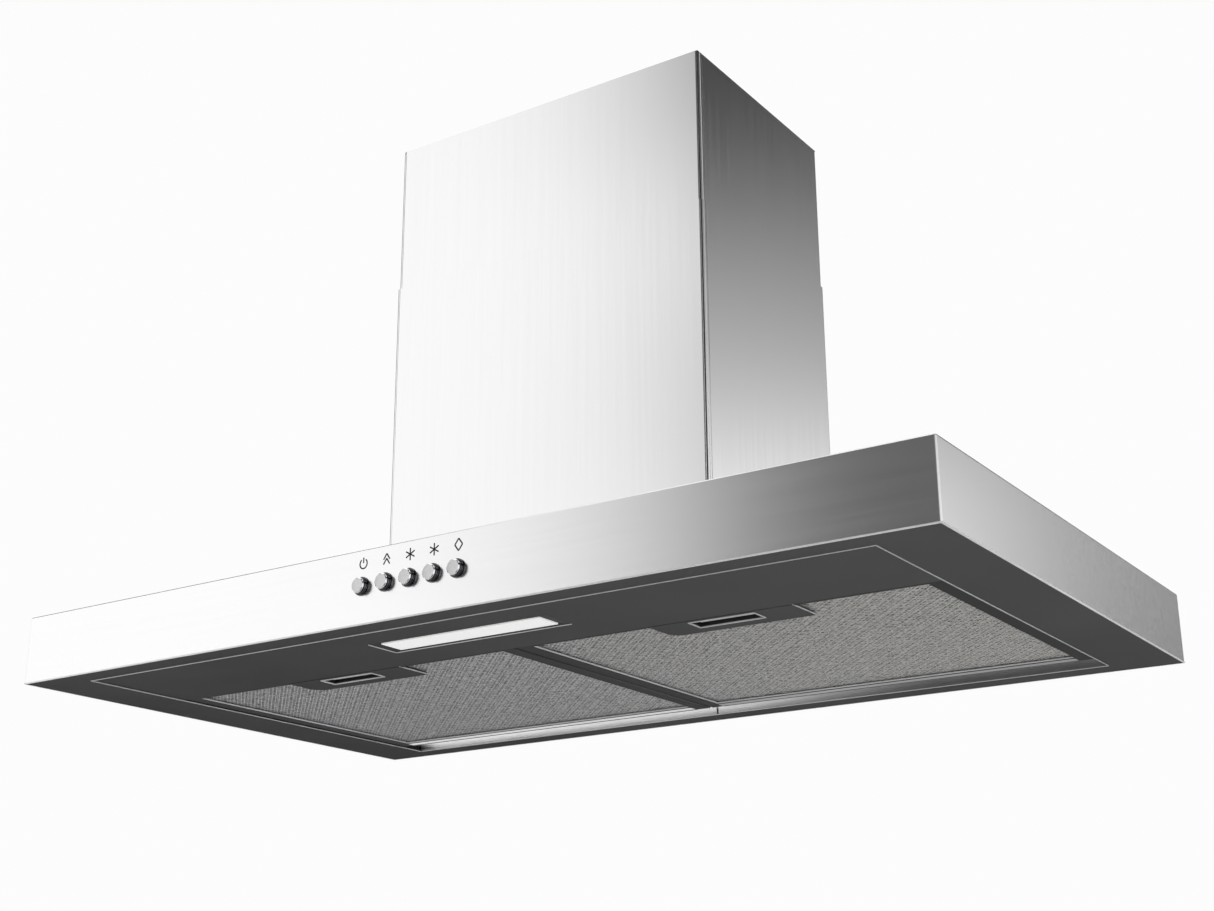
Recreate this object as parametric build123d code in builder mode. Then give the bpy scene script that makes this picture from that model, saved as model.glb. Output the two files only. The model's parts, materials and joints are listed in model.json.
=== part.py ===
from build123d import *
import os

os.makedirs("parts", exist_ok=True)

# ---------------------------------------------------------------- driving dimensions (millimetres)
# Frame: origin at the centre of the ceiling plate's top face, +X to the right, +Y to the back, +Z up.
CANOPY_WIDTH = 900.0
CANOPY_DEPTH = 520.0
CANOPY_HEIGHT = 62.0
HOOD_HEIGHT = 538.0
AXIS_FROM_FRONT = 293.0  # chimney axis, measured back from the canopy's front face
CHIMNEY_WIDTH = 344.0
CHIMNEY_DEPTH = 232.0
UPPER_COVER_SHOWN = 150.0
COVER_SHEET = 0.8
COVER_RADIUS = 2.5
COVER_GAP = 0.3  # sliding gap between the two chimney covers
DECK_GAP = 0.3  # the lower cover stops this far above the canopy
CANOPY_SHEET = 1.0
CANOPY_RADIUS = 1.5
CANOPY_LOWER_R = 0.6  # round of the canopy's bottom edge
UNDERSIDE_SHEET = 1.2

# Fasteners: small screws, M5 bolts, and the fits round them.
SCREW_R = 2.0
SCREW_HEAD_R = 3.8
SCREW_HEAD_H = 2.2
SOCKET_R = 1.5
COVER_SCREW_R = 1.9
DECK_BOLT_R = 2.5
CLAMP_BOLT_R = 2.45
HOLE_FIT = 0.05  # a screw hole's radius over its screw's
NUT_FIT = 0.02
NUT_R = 4.6  # across the corners
NUT_H = 4.0

# ---------------------------------------------------------------- derived levels
FRONT_Y = -AXIS_FROM_FRONT
BACK_Y = FRONT_Y + CANOPY_DEPTH
MIDDLE_Y = (FRONT_Y + BACK_Y) / 2
BASE_Z = -HOOD_HEIGHT
DECK_Z = BASE_Z + CANOPY_HEIGHT
HALF_WIDTH = CANOPY_WIDTH / 2


def low(height):
    """Level of a point this far above the canopy's bottom edge."""
    return BASE_Z + height


def back(distance):
    """Depth of a point this far behind the canopy's front face."""
    return FRONT_Y + distance


def block(x, y, z, mode=Mode.ADD):
    """Rectangular block between two limits on each axis, joined to or cut from the part in progress."""
    with Locations(((x[0] + x[1]) / 2, (y[0] + y[1]) / 2, (z[0] + z[1]) / 2)):
        Box(x[1] - x[0], y[1] - y[0], z[1] - z[0], mode=mode)


def rod(axis, radius, start, length, mode=Mode.ADD):
    """Round bar or hole that begins at a point and runs along +X, +Y or +Z."""
    turn = {"x": (0, 90, 0), "y": (-90, 0, 0), "z": (0, 0, 0)}[axis]
    with Locations(Location(start, turn)):
        Cylinder(radius, length, align=(Align.CENTER, Align.CENTER, Align.MIN), mode=mode)


def wall_ring(x, y, z, wall):
    """Thin upright wall round a rectangle, joined to the part in progress."""
    block(x, (y[0], y[0] + wall), z)
    block(x, (y[1] - wall, y[1]), z)
    block((x[0], x[0] + wall), y, z)
    block((x[1] - wall, x[1]), y, z)


def finish(part, label):
    """Name a finished piece and write it out."""
    part.label = label
    export_step(part, f"parts/{label}.step")


# ================================================================ ceiling side, which stays fixed
UPPER_WIDTH = CHIMNEY_WIDTH - 2 * (COVER_SHEET + COVER_GAP)
UPPER_DEPTH = CHIMNEY_DEPTH - 2 * (COVER_SHEET + COVER_GAP)
UPPER_BOTTOM_Z = -290.0
CEILING_GAP = 0.3  # the upper cover stops this far below the ceiling
PLATE_WIDTH = UPPER_WIDTH - 2 * COVER_SHEET - 0.2
PLATE_DEPTH = UPPER_DEPTH - 2 * COVER_SHEET - 0.2
PLATE_T = 2.5
DUCT_HOLE_R = 80.0
CEILING_BOLT_X = 140.0
CEILING_BOLT_Y = 60.0
CEILING_BOLT_R = 4.5
CABLE_X = 112.0
CABLE_HOLE_R = 10.0
FLANGE_HALF = 115.0
FLANGE_BOTTOM = -24.5
FLANGE_T = 1.5
COVER_SCREW_X = 90.0
COVER_SCREW_Z = -12.0

POST_X = 164.0  # outer faces of the fixed upper posts
POST_Y = 108.0
POST_LEG = 16.0
POST_T = 1.5
POST_GAP = 0.35  # sliding gap between nested posts
UPPER_POST_BOTTOM = -280.0
FOOT_X = POST_X - POST_T - (POST_LEG - POST_T) / 2
FOOT_Y = POST_Y - POST_T - (POST_LEG - POST_T) / 2
SLOT_TOP = -74.0
SLOT_BOTTOM = -266.0
SLOT_R = 2.9
CLAMP_Z = (-130.0, -160.0)
CORNERS = ((1, 1), (1, -1), (-1, 1), (-1, -1))

with BuildPart() as ceiling_plate:
    with BuildSketch(Plane.XY.offset(-PLATE_T)):
        RectangleRounded(PLATE_WIDTH, PLATE_DEPTH, 2)
        Circle(DUCT_HOLE_R, mode=Mode.SUBTRACT)
        with GridLocations(2 * CEILING_BOLT_X, 2 * CEILING_BOLT_Y, 2, 2):
            Circle(CEILING_BOLT_R, mode=Mode.SUBTRACT)
        with GridLocations(2 * FOOT_X, 2 * FOOT_Y, 2, 2):
            Circle(SCREW_R + HOLE_FIT, mode=Mode.SUBTRACT)
        with Locations((CABLE_X, 0)):
            Circle(CABLE_HOLE_R, mode=Mode.SUBTRACT)
    extrude(amount=PLATE_T)
    for side in (1, -1):
        flange_y = sorted((side * PLATE_DEPTH / 2, side * (PLATE_DEPTH / 2 - FLANGE_T)))
        block((-FLANGE_HALF, FLANGE_HALF), flange_y, (FLANGE_BOTTOM, -PLATE_T))
    for x in (-COVER_SCREW_X, COVER_SCREW_X):
        hole_start = (x, PLATE_DEPTH / 2 - 2 * FLANGE_T, COVER_SCREW_Z)
        rod("y", COVER_SCREW_R + HOLE_FIT, hole_start, 3 * FLANGE_T, mode=Mode.SUBTRACT)
finish(ceiling_plate.part, "ceiling_plate")


def angle_post(sx, sy, x_face, y_face, leg, z):
    """L-section post with its outer corner at (x_face, y_face) in one quadrant."""
    x = sorted((sx * x_face, sx * (x_face - leg)))
    y = sorted((sy * y_face, sy * (y_face - leg)))
    x_leg = sorted((sx * x_face, sx * (x_face - POST_T)))
    y_leg = sorted((sy * y_face, sy * (y_face - POST_T)))
    block(x, y_leg, z)
    block(x_leg, y, z)


with BuildPart() as upper_posts:
    for sx, sy in CORNERS:
        angle_post(sx, sy, POST_X, POST_Y, POST_LEG, (UPPER_POST_BOTTOM, -PLATE_T))
        foot_x = sorted((sx * POST_X, sx * (POST_X - POST_LEG)))
        foot_y = sorted((sy * POST_Y, sy * (POST_Y - POST_LEG)))
        block(foot_x, foot_y, (-PLATE_T - POST_T, -PLATE_T))
        rod("z", SCREW_R + HOLE_FIT, (sx * FOOT_X, sy * FOOT_Y, -6), 6, mode=Mode.SUBTRACT)
        slot_x = sorted((sx * (POST_X - 3), sx * (POST_X + 1)))
        slot_y = (sy * FOOT_Y - SLOT_R, sy * FOOT_Y + SLOT_R)
        block(slot_x, slot_y, (SLOT_BOTTOM + SLOT_R, SLOT_TOP - SLOT_R), mode=Mode.SUBTRACT)
        for end_z in (SLOT_BOTTOM + SLOT_R, SLOT_TOP - SLOT_R):
            rod("x", SLOT_R, (slot_x[0], sy * FOOT_Y, end_z), 4, mode=Mode.SUBTRACT)
finish(upper_posts.part, "upper_posts")

with BuildPart() as post_foot_screws:
    for sx, sy in CORNERS:
        head_z = -PLATE_T - POST_T - SCREW_HEAD_H
        rod("z", SCREW_R, (sx * FOOT_X, sy * FOOT_Y, -5.0), 4.7)
        rod("z", SCREW_HEAD_R, (sx * FOOT_X, sy * FOOT_Y, head_z), SCREW_HEAD_H)
        rod("z", SOCKET_R, (sx * FOOT_X, sy * FOOT_Y, head_z), 1.0, mode=Mode.SUBTRACT)
finish(post_foot_screws.part, "post_foot_screws")


def cover(width, depth, z):
    """Folded rectangular chimney cover, open at both ends."""
    with BuildPart() as sleeve:
        with BuildSketch(Plane.XY.offset(z[0])):
            RectangleRounded(width, depth, COVER_RADIUS)
            RectangleRounded(
                width - 2 * COVER_SHEET,
                depth - 2 * COVER_SHEET,
                COVER_RADIUS - COVER_SHEET,
                mode=Mode.SUBTRACT,
            )
        extrude(amount=z[1] - z[0])
    return sleeve.part


plain_upper_cover = cover(UPPER_WIDTH, UPPER_DEPTH, (UPPER_BOTTOM_Z, -CEILING_GAP))
with BuildPart() as upper_chimney_cover:
    add(plain_upper_cover)
    for x in (-COVER_SCREW_X, COVER_SCREW_X):
        hole_start = (x, UPPER_DEPTH / 2 - 2, COVER_SCREW_Z)
        rod("y", COVER_SCREW_R + HOLE_FIT, hole_start, 4, mode=Mode.SUBTRACT)
finish(upper_chimney_cover.part, "upper_chimney_cover")

with BuildPart() as cover_screws:
    for x in (-COVER_SCREW_X, COVER_SCREW_X):
        rod("y", COVER_SCREW_R, (x, PLATE_DEPTH / 2 - 6, COVER_SCREW_Z), 8)
        rod("y", SCREW_HEAD_R, (x, UPPER_DEPTH / 2, COVER_SCREW_Z), 1.8)
        rod("y", SOCKET_R, (x, UPPER_DEPTH / 2 + 0.9, COVER_SCREW_Z), 1, mode=Mode.SUBTRACT)
finish(cover_screws.part, "cover_screws")

# ================================================================ lower chimney cover
lower_chimney_cover = cover(CHIMNEY_WIDTH, CHIMNEY_DEPTH, (DECK_Z + DECK_GAP, -UPPER_COVER_SHOWN))
finish(lower_chimney_cover, "lower_chimney_cover")

# ================================================================ canopy
BUTTON_PITCH = 24.2
BUTTON_MIDDLE_X = 1.7
BUTTON_Z = low(31.5)
BUTTON_HOLE_R = 7.0
BUTTON_XS = [BUTTON_MIDDLE_X + BUTTON_PITCH * i for i in (-2, -1, 0, 1, 2)]
MOTOR_HALF_X = 144.0
MOTOR_HALF_Y = 88.0
INTAKE_HALF_X = 132.0
INTAKE_HALF_Y = 78.0
LOWER_POST_X = POST_X - POST_T - POST_GAP
LOWER_POST_Y = POST_Y - POST_T - POST_GAP
LOWER_LEG = 15.0
BOLT_INSET = 8.6  # from the outer faces of a lower post to the bolt in its foot
DECK_BOLT_X = LOWER_POST_X - BOLT_INSET
DECK_BOLT_Y = LOWER_POST_Y - BOLT_INSET
MOTOR_TAB = 14.0
MOTOR_SCREW_X = MOTOR_HALF_X + MOTOR_TAB / 2
MOTOR_SCREW_Y = 50.0

with BuildPart() as canopy_shell:
    with BuildSketch(Plane.XY.offset(BASE_Z)):
        with Locations((0, MIDDLE_Y)):
            RectangleRounded(CANOPY_WIDTH, CANOPY_DEPTH, CANOPY_RADIUS)
    extrude(amount=CANOPY_HEIGHT)
    fillet(canopy_shell.faces().sort_by(Axis.Z)[-1].edges(), CANOPY_RADIUS)
    inner_x = HALF_WIDTH - CANOPY_SHEET
    inner_y = (FRONT_Y + CANOPY_SHEET, BACK_Y - CANOPY_SHEET)
    block((-inner_x, inner_x), inner_y, (BASE_Z, DECK_Z - CANOPY_SHEET), mode=Mode.SUBTRACT)
    fillet(canopy_shell.faces().sort_by(Axis.Z)[0].outer_wire().edges(), CANOPY_LOWER_R)
    intake_x = (-INTAKE_HALF_X, INTAKE_HALF_X)
    intake_y = (-INTAKE_HALF_Y, INTAKE_HALF_Y)
    block(intake_x, intake_y, (DECK_Z - 5, DECK_Z + 5), mode=Mode.SUBTRACT)
    for x in BUTTON_XS:
        rod("y", BUTTON_HOLE_R, (x, FRONT_Y - 2, BUTTON_Z), 5, mode=Mode.SUBTRACT)
    for sx, sy in CORNERS:
        bolt_start = (sx * DECK_BOLT_X, sy * DECK_BOLT_Y, DECK_Z - 3)
        screw_start = (sx * MOTOR_SCREW_X, sy * MOTOR_SCREW_Y, DECK_Z - 3)
        rod("z", DECK_BOLT_R + HOLE_FIT, bolt_start, 6, mode=Mode.SUBTRACT)
        rod("z", SCREW_R + HOLE_FIT, screw_start, 6, mode=Mode.SUBTRACT)
finish(canopy_shell.part, "canopy_shell")

# ---------------------------------------------------------------- underside
PORT_HALF = 391.0  # half width of the recess in the underside
PORT_FRONT = 25.5
PORT_BACK = 495.0
FRAME_LOW = 0.4
PANEL_LOW = 1.0
PANEL_BACK = 141.0
LAMP_HALF = 91.0
LAMP_FRONT = 60.0
LAMP_BACK = 97.0
PIVOT_BACK = 459.0
PIVOT_HEIGHT = 7.5
PIVOT_R = 1.9
PIVOT_HOLE_R = 1.96
EDGE_R = 0.8  # outside radius of the folded sheet edges on the underside
PORT_WALL_TOP = 15.0
RIM_WALL_TOP = 13.0
PANEL_WALL_TOP = 16.0
SIDE_GAP = 1.0  # between the recess wall and what is fixed inside it

with BuildPart() as underside_frame:
    outer_x = (-HALF_WIDTH + CANOPY_SHEET, HALF_WIDTH - CANOPY_SHEET)
    outer_y = (back(CANOPY_SHEET), back(CANOPY_DEPTH - CANOPY_SHEET))
    port_x = (-PORT_HALF, PORT_HALF)
    port_y = (back(PORT_FRONT), back(PORT_BACK))
    wall_x = (-PORT_HALF - UNDERSIDE_SHEET, PORT_HALF + UNDERSIDE_SHEET)
    wall_y = (back(PORT_FRONT - UNDERSIDE_SHEET), back(PORT_BACK + UNDERSIDE_SHEET))
    block(outer_x, outer_y, (low(FRAME_LOW), low(FRAME_LOW + UNDERSIDE_SHEET)))
    block(wall_x, wall_y, (low(FRAME_LOW), low(PORT_WALL_TOP)))
    block(port_x, port_y, (low(-1), low(PORT_WALL_TOP + 1)), mode=Mode.SUBTRACT)
    wall_ring(outer_x, outer_y, (low(FRAME_LOW), low(RIM_WALL_TOP)), UNDERSIDE_SHEET)
    port_edges = underside_frame.faces().sort_by(Axis.Z)[0].inner_wires()[0].edges()
    fillet(port_edges, EDGE_R)
    pivot = (-PORT_HALF - 2, back(PIVOT_BACK), low(PIVOT_HEIGHT))
    rod("x", PIVOT_HOLE_R, pivot, 2 * PORT_HALF + 4, mode=Mode.SUBTRACT)
finish(underside_frame.part, "underside_frame")

with BuildPart() as lamp_panel:
    panel_x = (-PORT_HALF + SIDE_GAP, PORT_HALF - SIDE_GAP)
    panel_y = (back(PORT_FRONT + 0.9), back(PANEL_BACK))
    block(panel_x, panel_y, (low(PANEL_LOW), low(PANEL_LOW + UNDERSIDE_SHEET)))
    for y in ((panel_y[0], panel_y[0] + UNDERSIDE_SHEET), (panel_y[1] - UNDERSIDE_SHEET, panel_y[1])):
        block(panel_x, y, (low(PANEL_LOW), low(PANEL_WALL_TOP)))
    long_edges = lamp_panel.faces().sort_by(Axis.Z)[0].edges().filter_by(Axis.X)
    fillet(long_edges, EDGE_R)
    lamp_x = (-LAMP_HALF, LAMP_HALF)
    lamp_y = (back(LAMP_FRONT), back(LAMP_BACK))
    block(lamp_x, lamp_y, (low(0), low(5)), mode=Mode.SUBTRACT)
finish(lamp_panel.part, "lamp_panel")

LENS_HALF = 81.2
LENS_FRONT = 65.3
LENS_BACK = 91.3
LENS_H = (1.1, 3.9)
REFLECTOR_H = 1.0  # height of the sloping rim round the lens
HOUSING_TOP = 17.0
HOUSING_WALL = 1.5

with BuildPart() as lamp_housing:
    case_x = (-LAMP_HALF + 0.2, LAMP_HALF - 0.2)
    case_y = (back(LAMP_FRONT + 0.2), back(LAMP_BACK - 0.2))
    block(case_x, case_y, (low(PANEL_LOW), low(HOUSING_TOP)))
    with BuildSketch(Plane.XY.offset(low(PANEL_LOW))):
        with Locations((0, back((LAMP_FRONT + LAMP_BACK) / 2))):
            Rectangle(2 * (LAMP_HALF - HOUSING_WALL), LAMP_BACK - LAMP_FRONT - 2 * HOUSING_WALL)
    with BuildSketch(Plane.XY.offset(low(PANEL_LOW + REFLECTOR_H))):
        with Locations((0, back((LENS_FRONT + LENS_BACK) / 2))):
            Rectangle(2 * LENS_HALF + 1, LENS_BACK - LENS_FRONT + 1)
    loft(mode=Mode.SUBTRACT)
    cavity_x = (-LENS_HALF - 0.3, LENS_HALF + 0.3)
    cavity_y = (back(LENS_FRONT - 0.3), back(LENS_BACK + 0.3))
    block(cavity_x, cavity_y, (low(PANEL_LOW), low(HOUSING_TOP - HOUSING_WALL)), mode=Mode.SUBTRACT)
    flange_x = (-LAMP_HALF - 6, LAMP_HALF + 6)
    flange_y = (back(LAMP_FRONT - 5), back(LAMP_BACK + 5))
    for x in ((flange_x[0], case_x[0]), (case_x[1], flange_x[1])):
        block(x, flange_y, (low(PANEL_LOW + UNDERSIDE_SHEET), low(4.2)))
finish(lamp_housing.part, "lamp_housing")

with BuildPart() as lamp_diffuser:
    block((-LENS_HALF, LENS_HALF), (back(LENS_FRONT), back(LENS_BACK)), (low(LENS_H[0]), low(LENS_H[1])))
    fillet(lamp_diffuser.edges().filter_by(Axis.Z), 1.0)
finish(lamp_diffuser.part, "lamp_diffuser")

BOARD_T = 1.6
LED_COUNT = 12
with BuildPart() as led_board:
    board_top = HOUSING_TOP - HOUSING_WALL
    block((-78, 78), (back(69), back(86)), (low(board_top - BOARD_T), low(board_top)))
    with Locations((0, back((LENS_FRONT + LENS_BACK) / 2), low(board_top - BOARD_T - 0.5))):
        with GridLocations(12.5, 1, LED_COUNT, 1):
            Box(3.0, 2.8, 1.0)
finish(led_board.part, "led_board")

RAIL_CEILING = 6.0
RAIL_FRONT = 471.0
RAIL_T = 1.2
RAIL_TOP = RAIL_CEILING + RAIL_T
NOTCH_X = -8.5
with BuildPart() as filter_rear_rail:
    rail_x = (-PORT_HALF + SIDE_GAP, PORT_HALF - SIDE_GAP)
    block(rail_x, (back(RAIL_FRONT), back(PORT_BACK)), (low(RAIL_CEILING), low(RAIL_TOP)))
    block(rail_x, (back(PORT_BACK - RAIL_T), back(PORT_BACK)), (low(0.6), low(RAIL_TOP)))
    notch_x = (NOTCH_X - 1, NOTCH_X + 1)
    notch_y = (back(PORT_BACK - 2), back(PORT_BACK + 1))
    block(notch_x, notch_y, (low(0), low(RAIL_CEILING)), mode=Mode.SUBTRACT)
finish(filter_rear_rail.part, "filter_rear_rail")

BRACKET_T = 3.0
BRACKET_TOP = 14.0
with BuildPart() as filter_centre_bracket:
    with BuildSketch(Plane.YZ.offset(-BRACKET_T / 2)):
        with BuildLine():
            Polyline(
                (back(453.5), low(4.0)),
                (back(464.0), low(4.0)),
                (back(467.0), low(RAIL_TOP)),
                (back(492.0), low(RAIL_TOP)),
                (back(492.0), low(BRACKET_TOP)),
                (back(453.5), low(BRACKET_TOP)),
                close=True,
            )
        make_face()
    extrude(amount=BRACKET_T)
    pivot = (-BRACKET_T, back(PIVOT_BACK), low(PIVOT_HEIGHT))
    rod("x", PIVOT_HOLE_R, pivot, 2 * BRACKET_T, mode=Mode.SUBTRACT)
finish(filter_centre_bracket.part, "filter_centre_bracket")

# ---------------------------------------------------------------- posts that carry the canopy
FOOT_T = 2.0
LOWER_POST_TOP = -120.0
CLAMP_HEAD_H = 3.5
CLAMP_END_X = POST_X + 5.0
NUT_START_X = POST_X + 0.3

with BuildPart() as lower_posts:
    for sx, sy in CORNERS:
        angle_post(sx, sy, LOWER_POST_X, LOWER_POST_Y, LOWER_LEG, (DECK_Z, LOWER_POST_TOP))
        foot_x = sorted((sx * LOWER_POST_X, sx * (LOWER_POST_X - LOWER_LEG)))
        foot_y = sorted((sy * LOWER_POST_Y, sy * (LOWER_POST_Y - LOWER_LEG)))
        block(foot_x, foot_y, (DECK_Z, DECK_Z + FOOT_T))
        bolt_start = (sx * DECK_BOLT_X, sy * DECK_BOLT_Y, DECK_Z - 1)
        rod("z", DECK_BOLT_R + HOLE_FIT, bolt_start, 5, mode=Mode.SUBTRACT)
        for z in CLAMP_Z:
            hole_x = sx * LOWER_POST_X - 3
            rod("x", CLAMP_BOLT_R + HOLE_FIT, (hole_x, sy * FOOT_Y, z), 6, mode=Mode.SUBTRACT)
finish(lower_posts.part, "lower_posts")

with BuildPart() as post_clamp_bolts:
    for sx, sy in CORNERS:
        inner = LOWER_POST_X - POST_T
        for z in CLAMP_Z:
            shank = sorted((sx * (inner - 1), sx * CLAMP_END_X))
            head = sorted((sx * (inner - CLAMP_HEAD_H), sx * inner))
            rod("x", CLAMP_BOLT_R, (shank[0], sy * FOOT_Y, z), shank[1] - shank[0])
            rod("x", NUT_R, (head[0], sy * FOOT_Y, z), CLAMP_HEAD_H)
finish(post_clamp_bolts.part, "post_clamp_bolts")

with BuildPart() as post_clamp_nuts:
    for sx, sy in CORNERS:
        for z in CLAMP_Z:
            nut_plane = Plane(
                origin=(sx * NUT_START_X, sy * FOOT_Y, z),
                x_dir=(0, 1, 0),
                z_dir=(sx, 0, 0),
            )
            with BuildSketch(nut_plane):
                RegularPolygon(NUT_R, 6)
                Circle(CLAMP_BOLT_R + NUT_FIT, mode=Mode.SUBTRACT)
            extrude(amount=NUT_H)
finish(post_clamp_nuts.part, "post_clamp_nuts")

with BuildPart() as deck_bolts:
    for sx, sy in CORNERS:
        rod("z", DECK_BOLT_R, (sx * DECK_BOLT_X, sy * DECK_BOLT_Y, DECK_Z - 6), 9)
        rod("z", 4.3, (sx * DECK_BOLT_X, sy * DECK_BOLT_Y, DECK_Z + FOOT_T), 3)
        socket_start = (sx * DECK_BOLT_X, sy * DECK_BOLT_Y, DECK_Z + 3.5)
        rod("z", SOCKET_R, socket_start, 3, mode=Mode.SUBTRACT)
finish(deck_bolts.part, "deck_bolts")

with BuildPart() as deck_nuts:
    for sx, sy in CORNERS:
        with BuildSketch(Plane.XY.offset(DECK_Z - CANOPY_SHEET - NUT_H)):
            with Locations((sx * DECK_BOLT_X, sy * DECK_BOLT_Y)):
                RegularPolygon(NUT_R, 6)
                Circle(DECK_BOLT_R + NUT_FIT, mode=Mode.SUBTRACT)
        extrude(amount=NUT_H)
finish(deck_nuts.part, "deck_nuts")

# ================================================================ motor box and blower
BOX_TOP = -253.0
BOX_T = 1.0
FAN_Y = -12.0
FAN_Z = -390.0
SCROLL_R = 72.0
SCROLL_HALF = 65.0
SCROLL_T = 1.2
OUTLET_BACK = 60.0
OUTLET_FRONT = -42.0
INLET_R = 50.0
INLET_RING_T = 1.5
WHEEL_R = 58.0
BLADE_COUNT = 24
SHAFT_R = 4.0
COLLAR_R = 74.5
COLLAR_T = 1.5
COLLAR_TOP = -213.0
FLAP_X = 3.5
FLAP_Z = -235.0
SPINDLE_R = 1.5
TOP_PLANE_Z = BOX_TOP - BOX_T
WIRE_HOLE_R = 4.2

with BuildPart() as motor_box:
    box_x = (-MOTOR_HALF_X, MOTOR_HALF_X)
    box_y = (-MOTOR_HALF_Y, MOTOR_HALF_Y)
    block(box_x, box_y, (DECK_Z, BOX_TOP))
    hollow_x = (-MOTOR_HALF_X + BOX_T, MOTOR_HALF_X - BOX_T)
    hollow_y = (-MOTOR_HALF_Y + BOX_T, MOTOR_HALF_Y - BOX_T)
    block(hollow_x, hollow_y, (DECK_Z - 1, TOP_PLANE_Z), mode=Mode.SUBTRACT)
    for side in (1, -1):
        tab_x = sorted((side * (MOTOR_HALF_X - BOX_T), side * (MOTOR_HALF_X + MOTOR_TAB)))
        block(tab_x, (-70, 70), (DECK_Z, DECK_Z + BOX_T))
    for sx, sy in CORNERS:
        screw_start = (sx * MOTOR_SCREW_X, sy * MOTOR_SCREW_Y, DECK_Z - 1)
        rod("z", SCREW_R + HOLE_FIT, screw_start, 4, mode=Mode.SUBTRACT)
    outlet_y = (OUTLET_FRONT + SCROLL_T, OUTLET_BACK - SCROLL_T)
    outlet_x = (-SCROLL_HALF + SCROLL_T, SCROLL_HALF - SCROLL_T)
    block(outlet_x, outlet_y, (BOX_TOP - 3, BOX_TOP + 1), mode=Mode.SUBTRACT)
    rod("z", WIRE_HOLE_R, (CABLE_X, 0, BOX_TOP - 3), 6, mode=Mode.SUBTRACT)
finish(motor_box.part, "motor_box")

with BuildPart() as motor_box_screws:
    for sx, sy in CORNERS:
        rod("z", SCREW_R, (sx * MOTOR_SCREW_X, sy * MOTOR_SCREW_Y, DECK_Z - 5), 7)
        head_start = (sx * MOTOR_SCREW_X, sy * MOTOR_SCREW_Y, DECK_Z + BOX_T)
        rod("z", SCREW_HEAD_R, head_start, SCREW_HEAD_H)
finish(motor_box_screws.part, "motor_box_screws")


def scroll_outline(inset):
    """Round scroll with a straight throat up to the outlet, drawn smaller by the inset."""
    with BuildSketch() as outline:
        with Locations((FAN_Y, FAN_Z)):
            Circle(SCROLL_R - inset)
        throat_y = (OUTLET_FRONT + inset, OUTLET_BACK - inset)
        with Locations(((throat_y[0] + throat_y[1]) / 2, (FAN_Z + TOP_PLANE_Z) / 2)):
            Rectangle(throat_y[1] - throat_y[0], TOP_PLANE_Z - FAN_Z)
    return outline.sketch


scroll_outside = scroll_outline(0)
scroll_inside = scroll_outline(SCROLL_T)
with BuildPart() as blower_scroll:
    with BuildSketch(Plane.YZ.offset(-SCROLL_HALF)):
        add(scroll_outside)
    extrude(amount=2 * SCROLL_HALF)
    with BuildSketch(Plane.YZ.offset(-SCROLL_HALF + SCROLL_T)):
        add(scroll_inside)
    extrude(amount=2 * (SCROLL_HALF - SCROLL_T), mode=Mode.SUBTRACT)
    throat_y = (OUTLET_FRONT + SCROLL_T, OUTLET_BACK - SCROLL_T)
    throat_x = (-SCROLL_HALF + SCROLL_T, SCROLL_HALF - SCROLL_T)
    block(throat_x, throat_y, (TOP_PLANE_Z - 3, TOP_PLANE_Z + 1), mode=Mode.SUBTRACT)
    rod("x", INLET_R, (-SCROLL_HALF - 1, FAN_Y, FAN_Z), 2 * SCROLL_HALF + 2, mode=Mode.SUBTRACT)
finish(blower_scroll.part, "blower_scroll")

with BuildPart() as inlet_rings:
    for side in (1, -1):
        ring_plane = Plane(
            origin=(side * SCROLL_HALF, FAN_Y, FAN_Z),
            x_dir=(0, 1, 0),
            z_dir=(side, 0, 0),
        )
        with BuildSketch(ring_plane):
            Circle(INLET_R + 7)
            Circle(INLET_R - 3, mode=Mode.SUBTRACT)
        extrude(amount=INLET_RING_T)
finish(inlet_rings.part, "inlet_rings")

MOTOR_R = 34.0
MOTOR_START = 8.0
MOTOR_END = 60.0
BEARING_R = 8.0
BEARING_LENGTH = 7.0
WHEEL_HALF = 56.0
HUB_HOLE_R = 7.0
RIM_T = 2.0
SHAFT_FIT = 0.06  # running fit of the shaft in its bearings

with BuildPart() as motor_stator:
    rod("x", MOTOR_R, (MOTOR_START, FAN_Y, FAN_Z), MOTOR_END - MOTOR_START)
    fillet(motor_stator.edges().filter_by(GeomType.CIRCLE), 3)
    rod("x", SHAFT_R + 1, (MOTOR_START - 1, FAN_Y, FAN_Z), 60, mode=Mode.SUBTRACT)
    for x in (MOTOR_START - 1, MOTOR_END - BEARING_LENGTH):
        rod("x", BEARING_R, (x, FAN_Y, FAN_Z), BEARING_LENGTH + 1, mode=Mode.SUBTRACT)
finish(motor_stator.part, "motor_stator")

with BuildPart() as motor_bearings:
    for x in (MOTOR_START, MOTOR_END - BEARING_LENGTH):
        rod("x", BEARING_R, (x, FAN_Y, FAN_Z), BEARING_LENGTH)
    rod("x", SHAFT_R + SHAFT_FIT, (MOTOR_START - 1, FAN_Y, FAN_Z), 60, mode=Mode.SUBTRACT)
finish(motor_bearings.part, "motor_bearings")

with BuildPart() as motor_bracket:
    bracket_x = SCROLL_HALF + INLET_RING_T
    with BuildSketch(Plane.YZ.offset(bracket_x)):
        with Locations((FAN_Y, FAN_Z)):
            Circle(20)
            for angle in (90, 210, 330):
                with PolarLocations(INLET_R / 2 + 1, 1, start_angle=angle):
                    Rectangle(INLET_R + 9, 10)
            Circle(HUB_HOLE_R, mode=Mode.SUBTRACT)
    extrude(amount=2.0)
    with BuildSketch(Plane.YZ.offset(MOTOR_END)):
        with Locations((FAN_Y, FAN_Z)):
            Circle(16)
            Circle(HUB_HOLE_R, mode=Mode.SUBTRACT)
    extrude(amount=bracket_x - MOTOR_END)
finish(motor_bracket.part, "motor_bracket")

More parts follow.
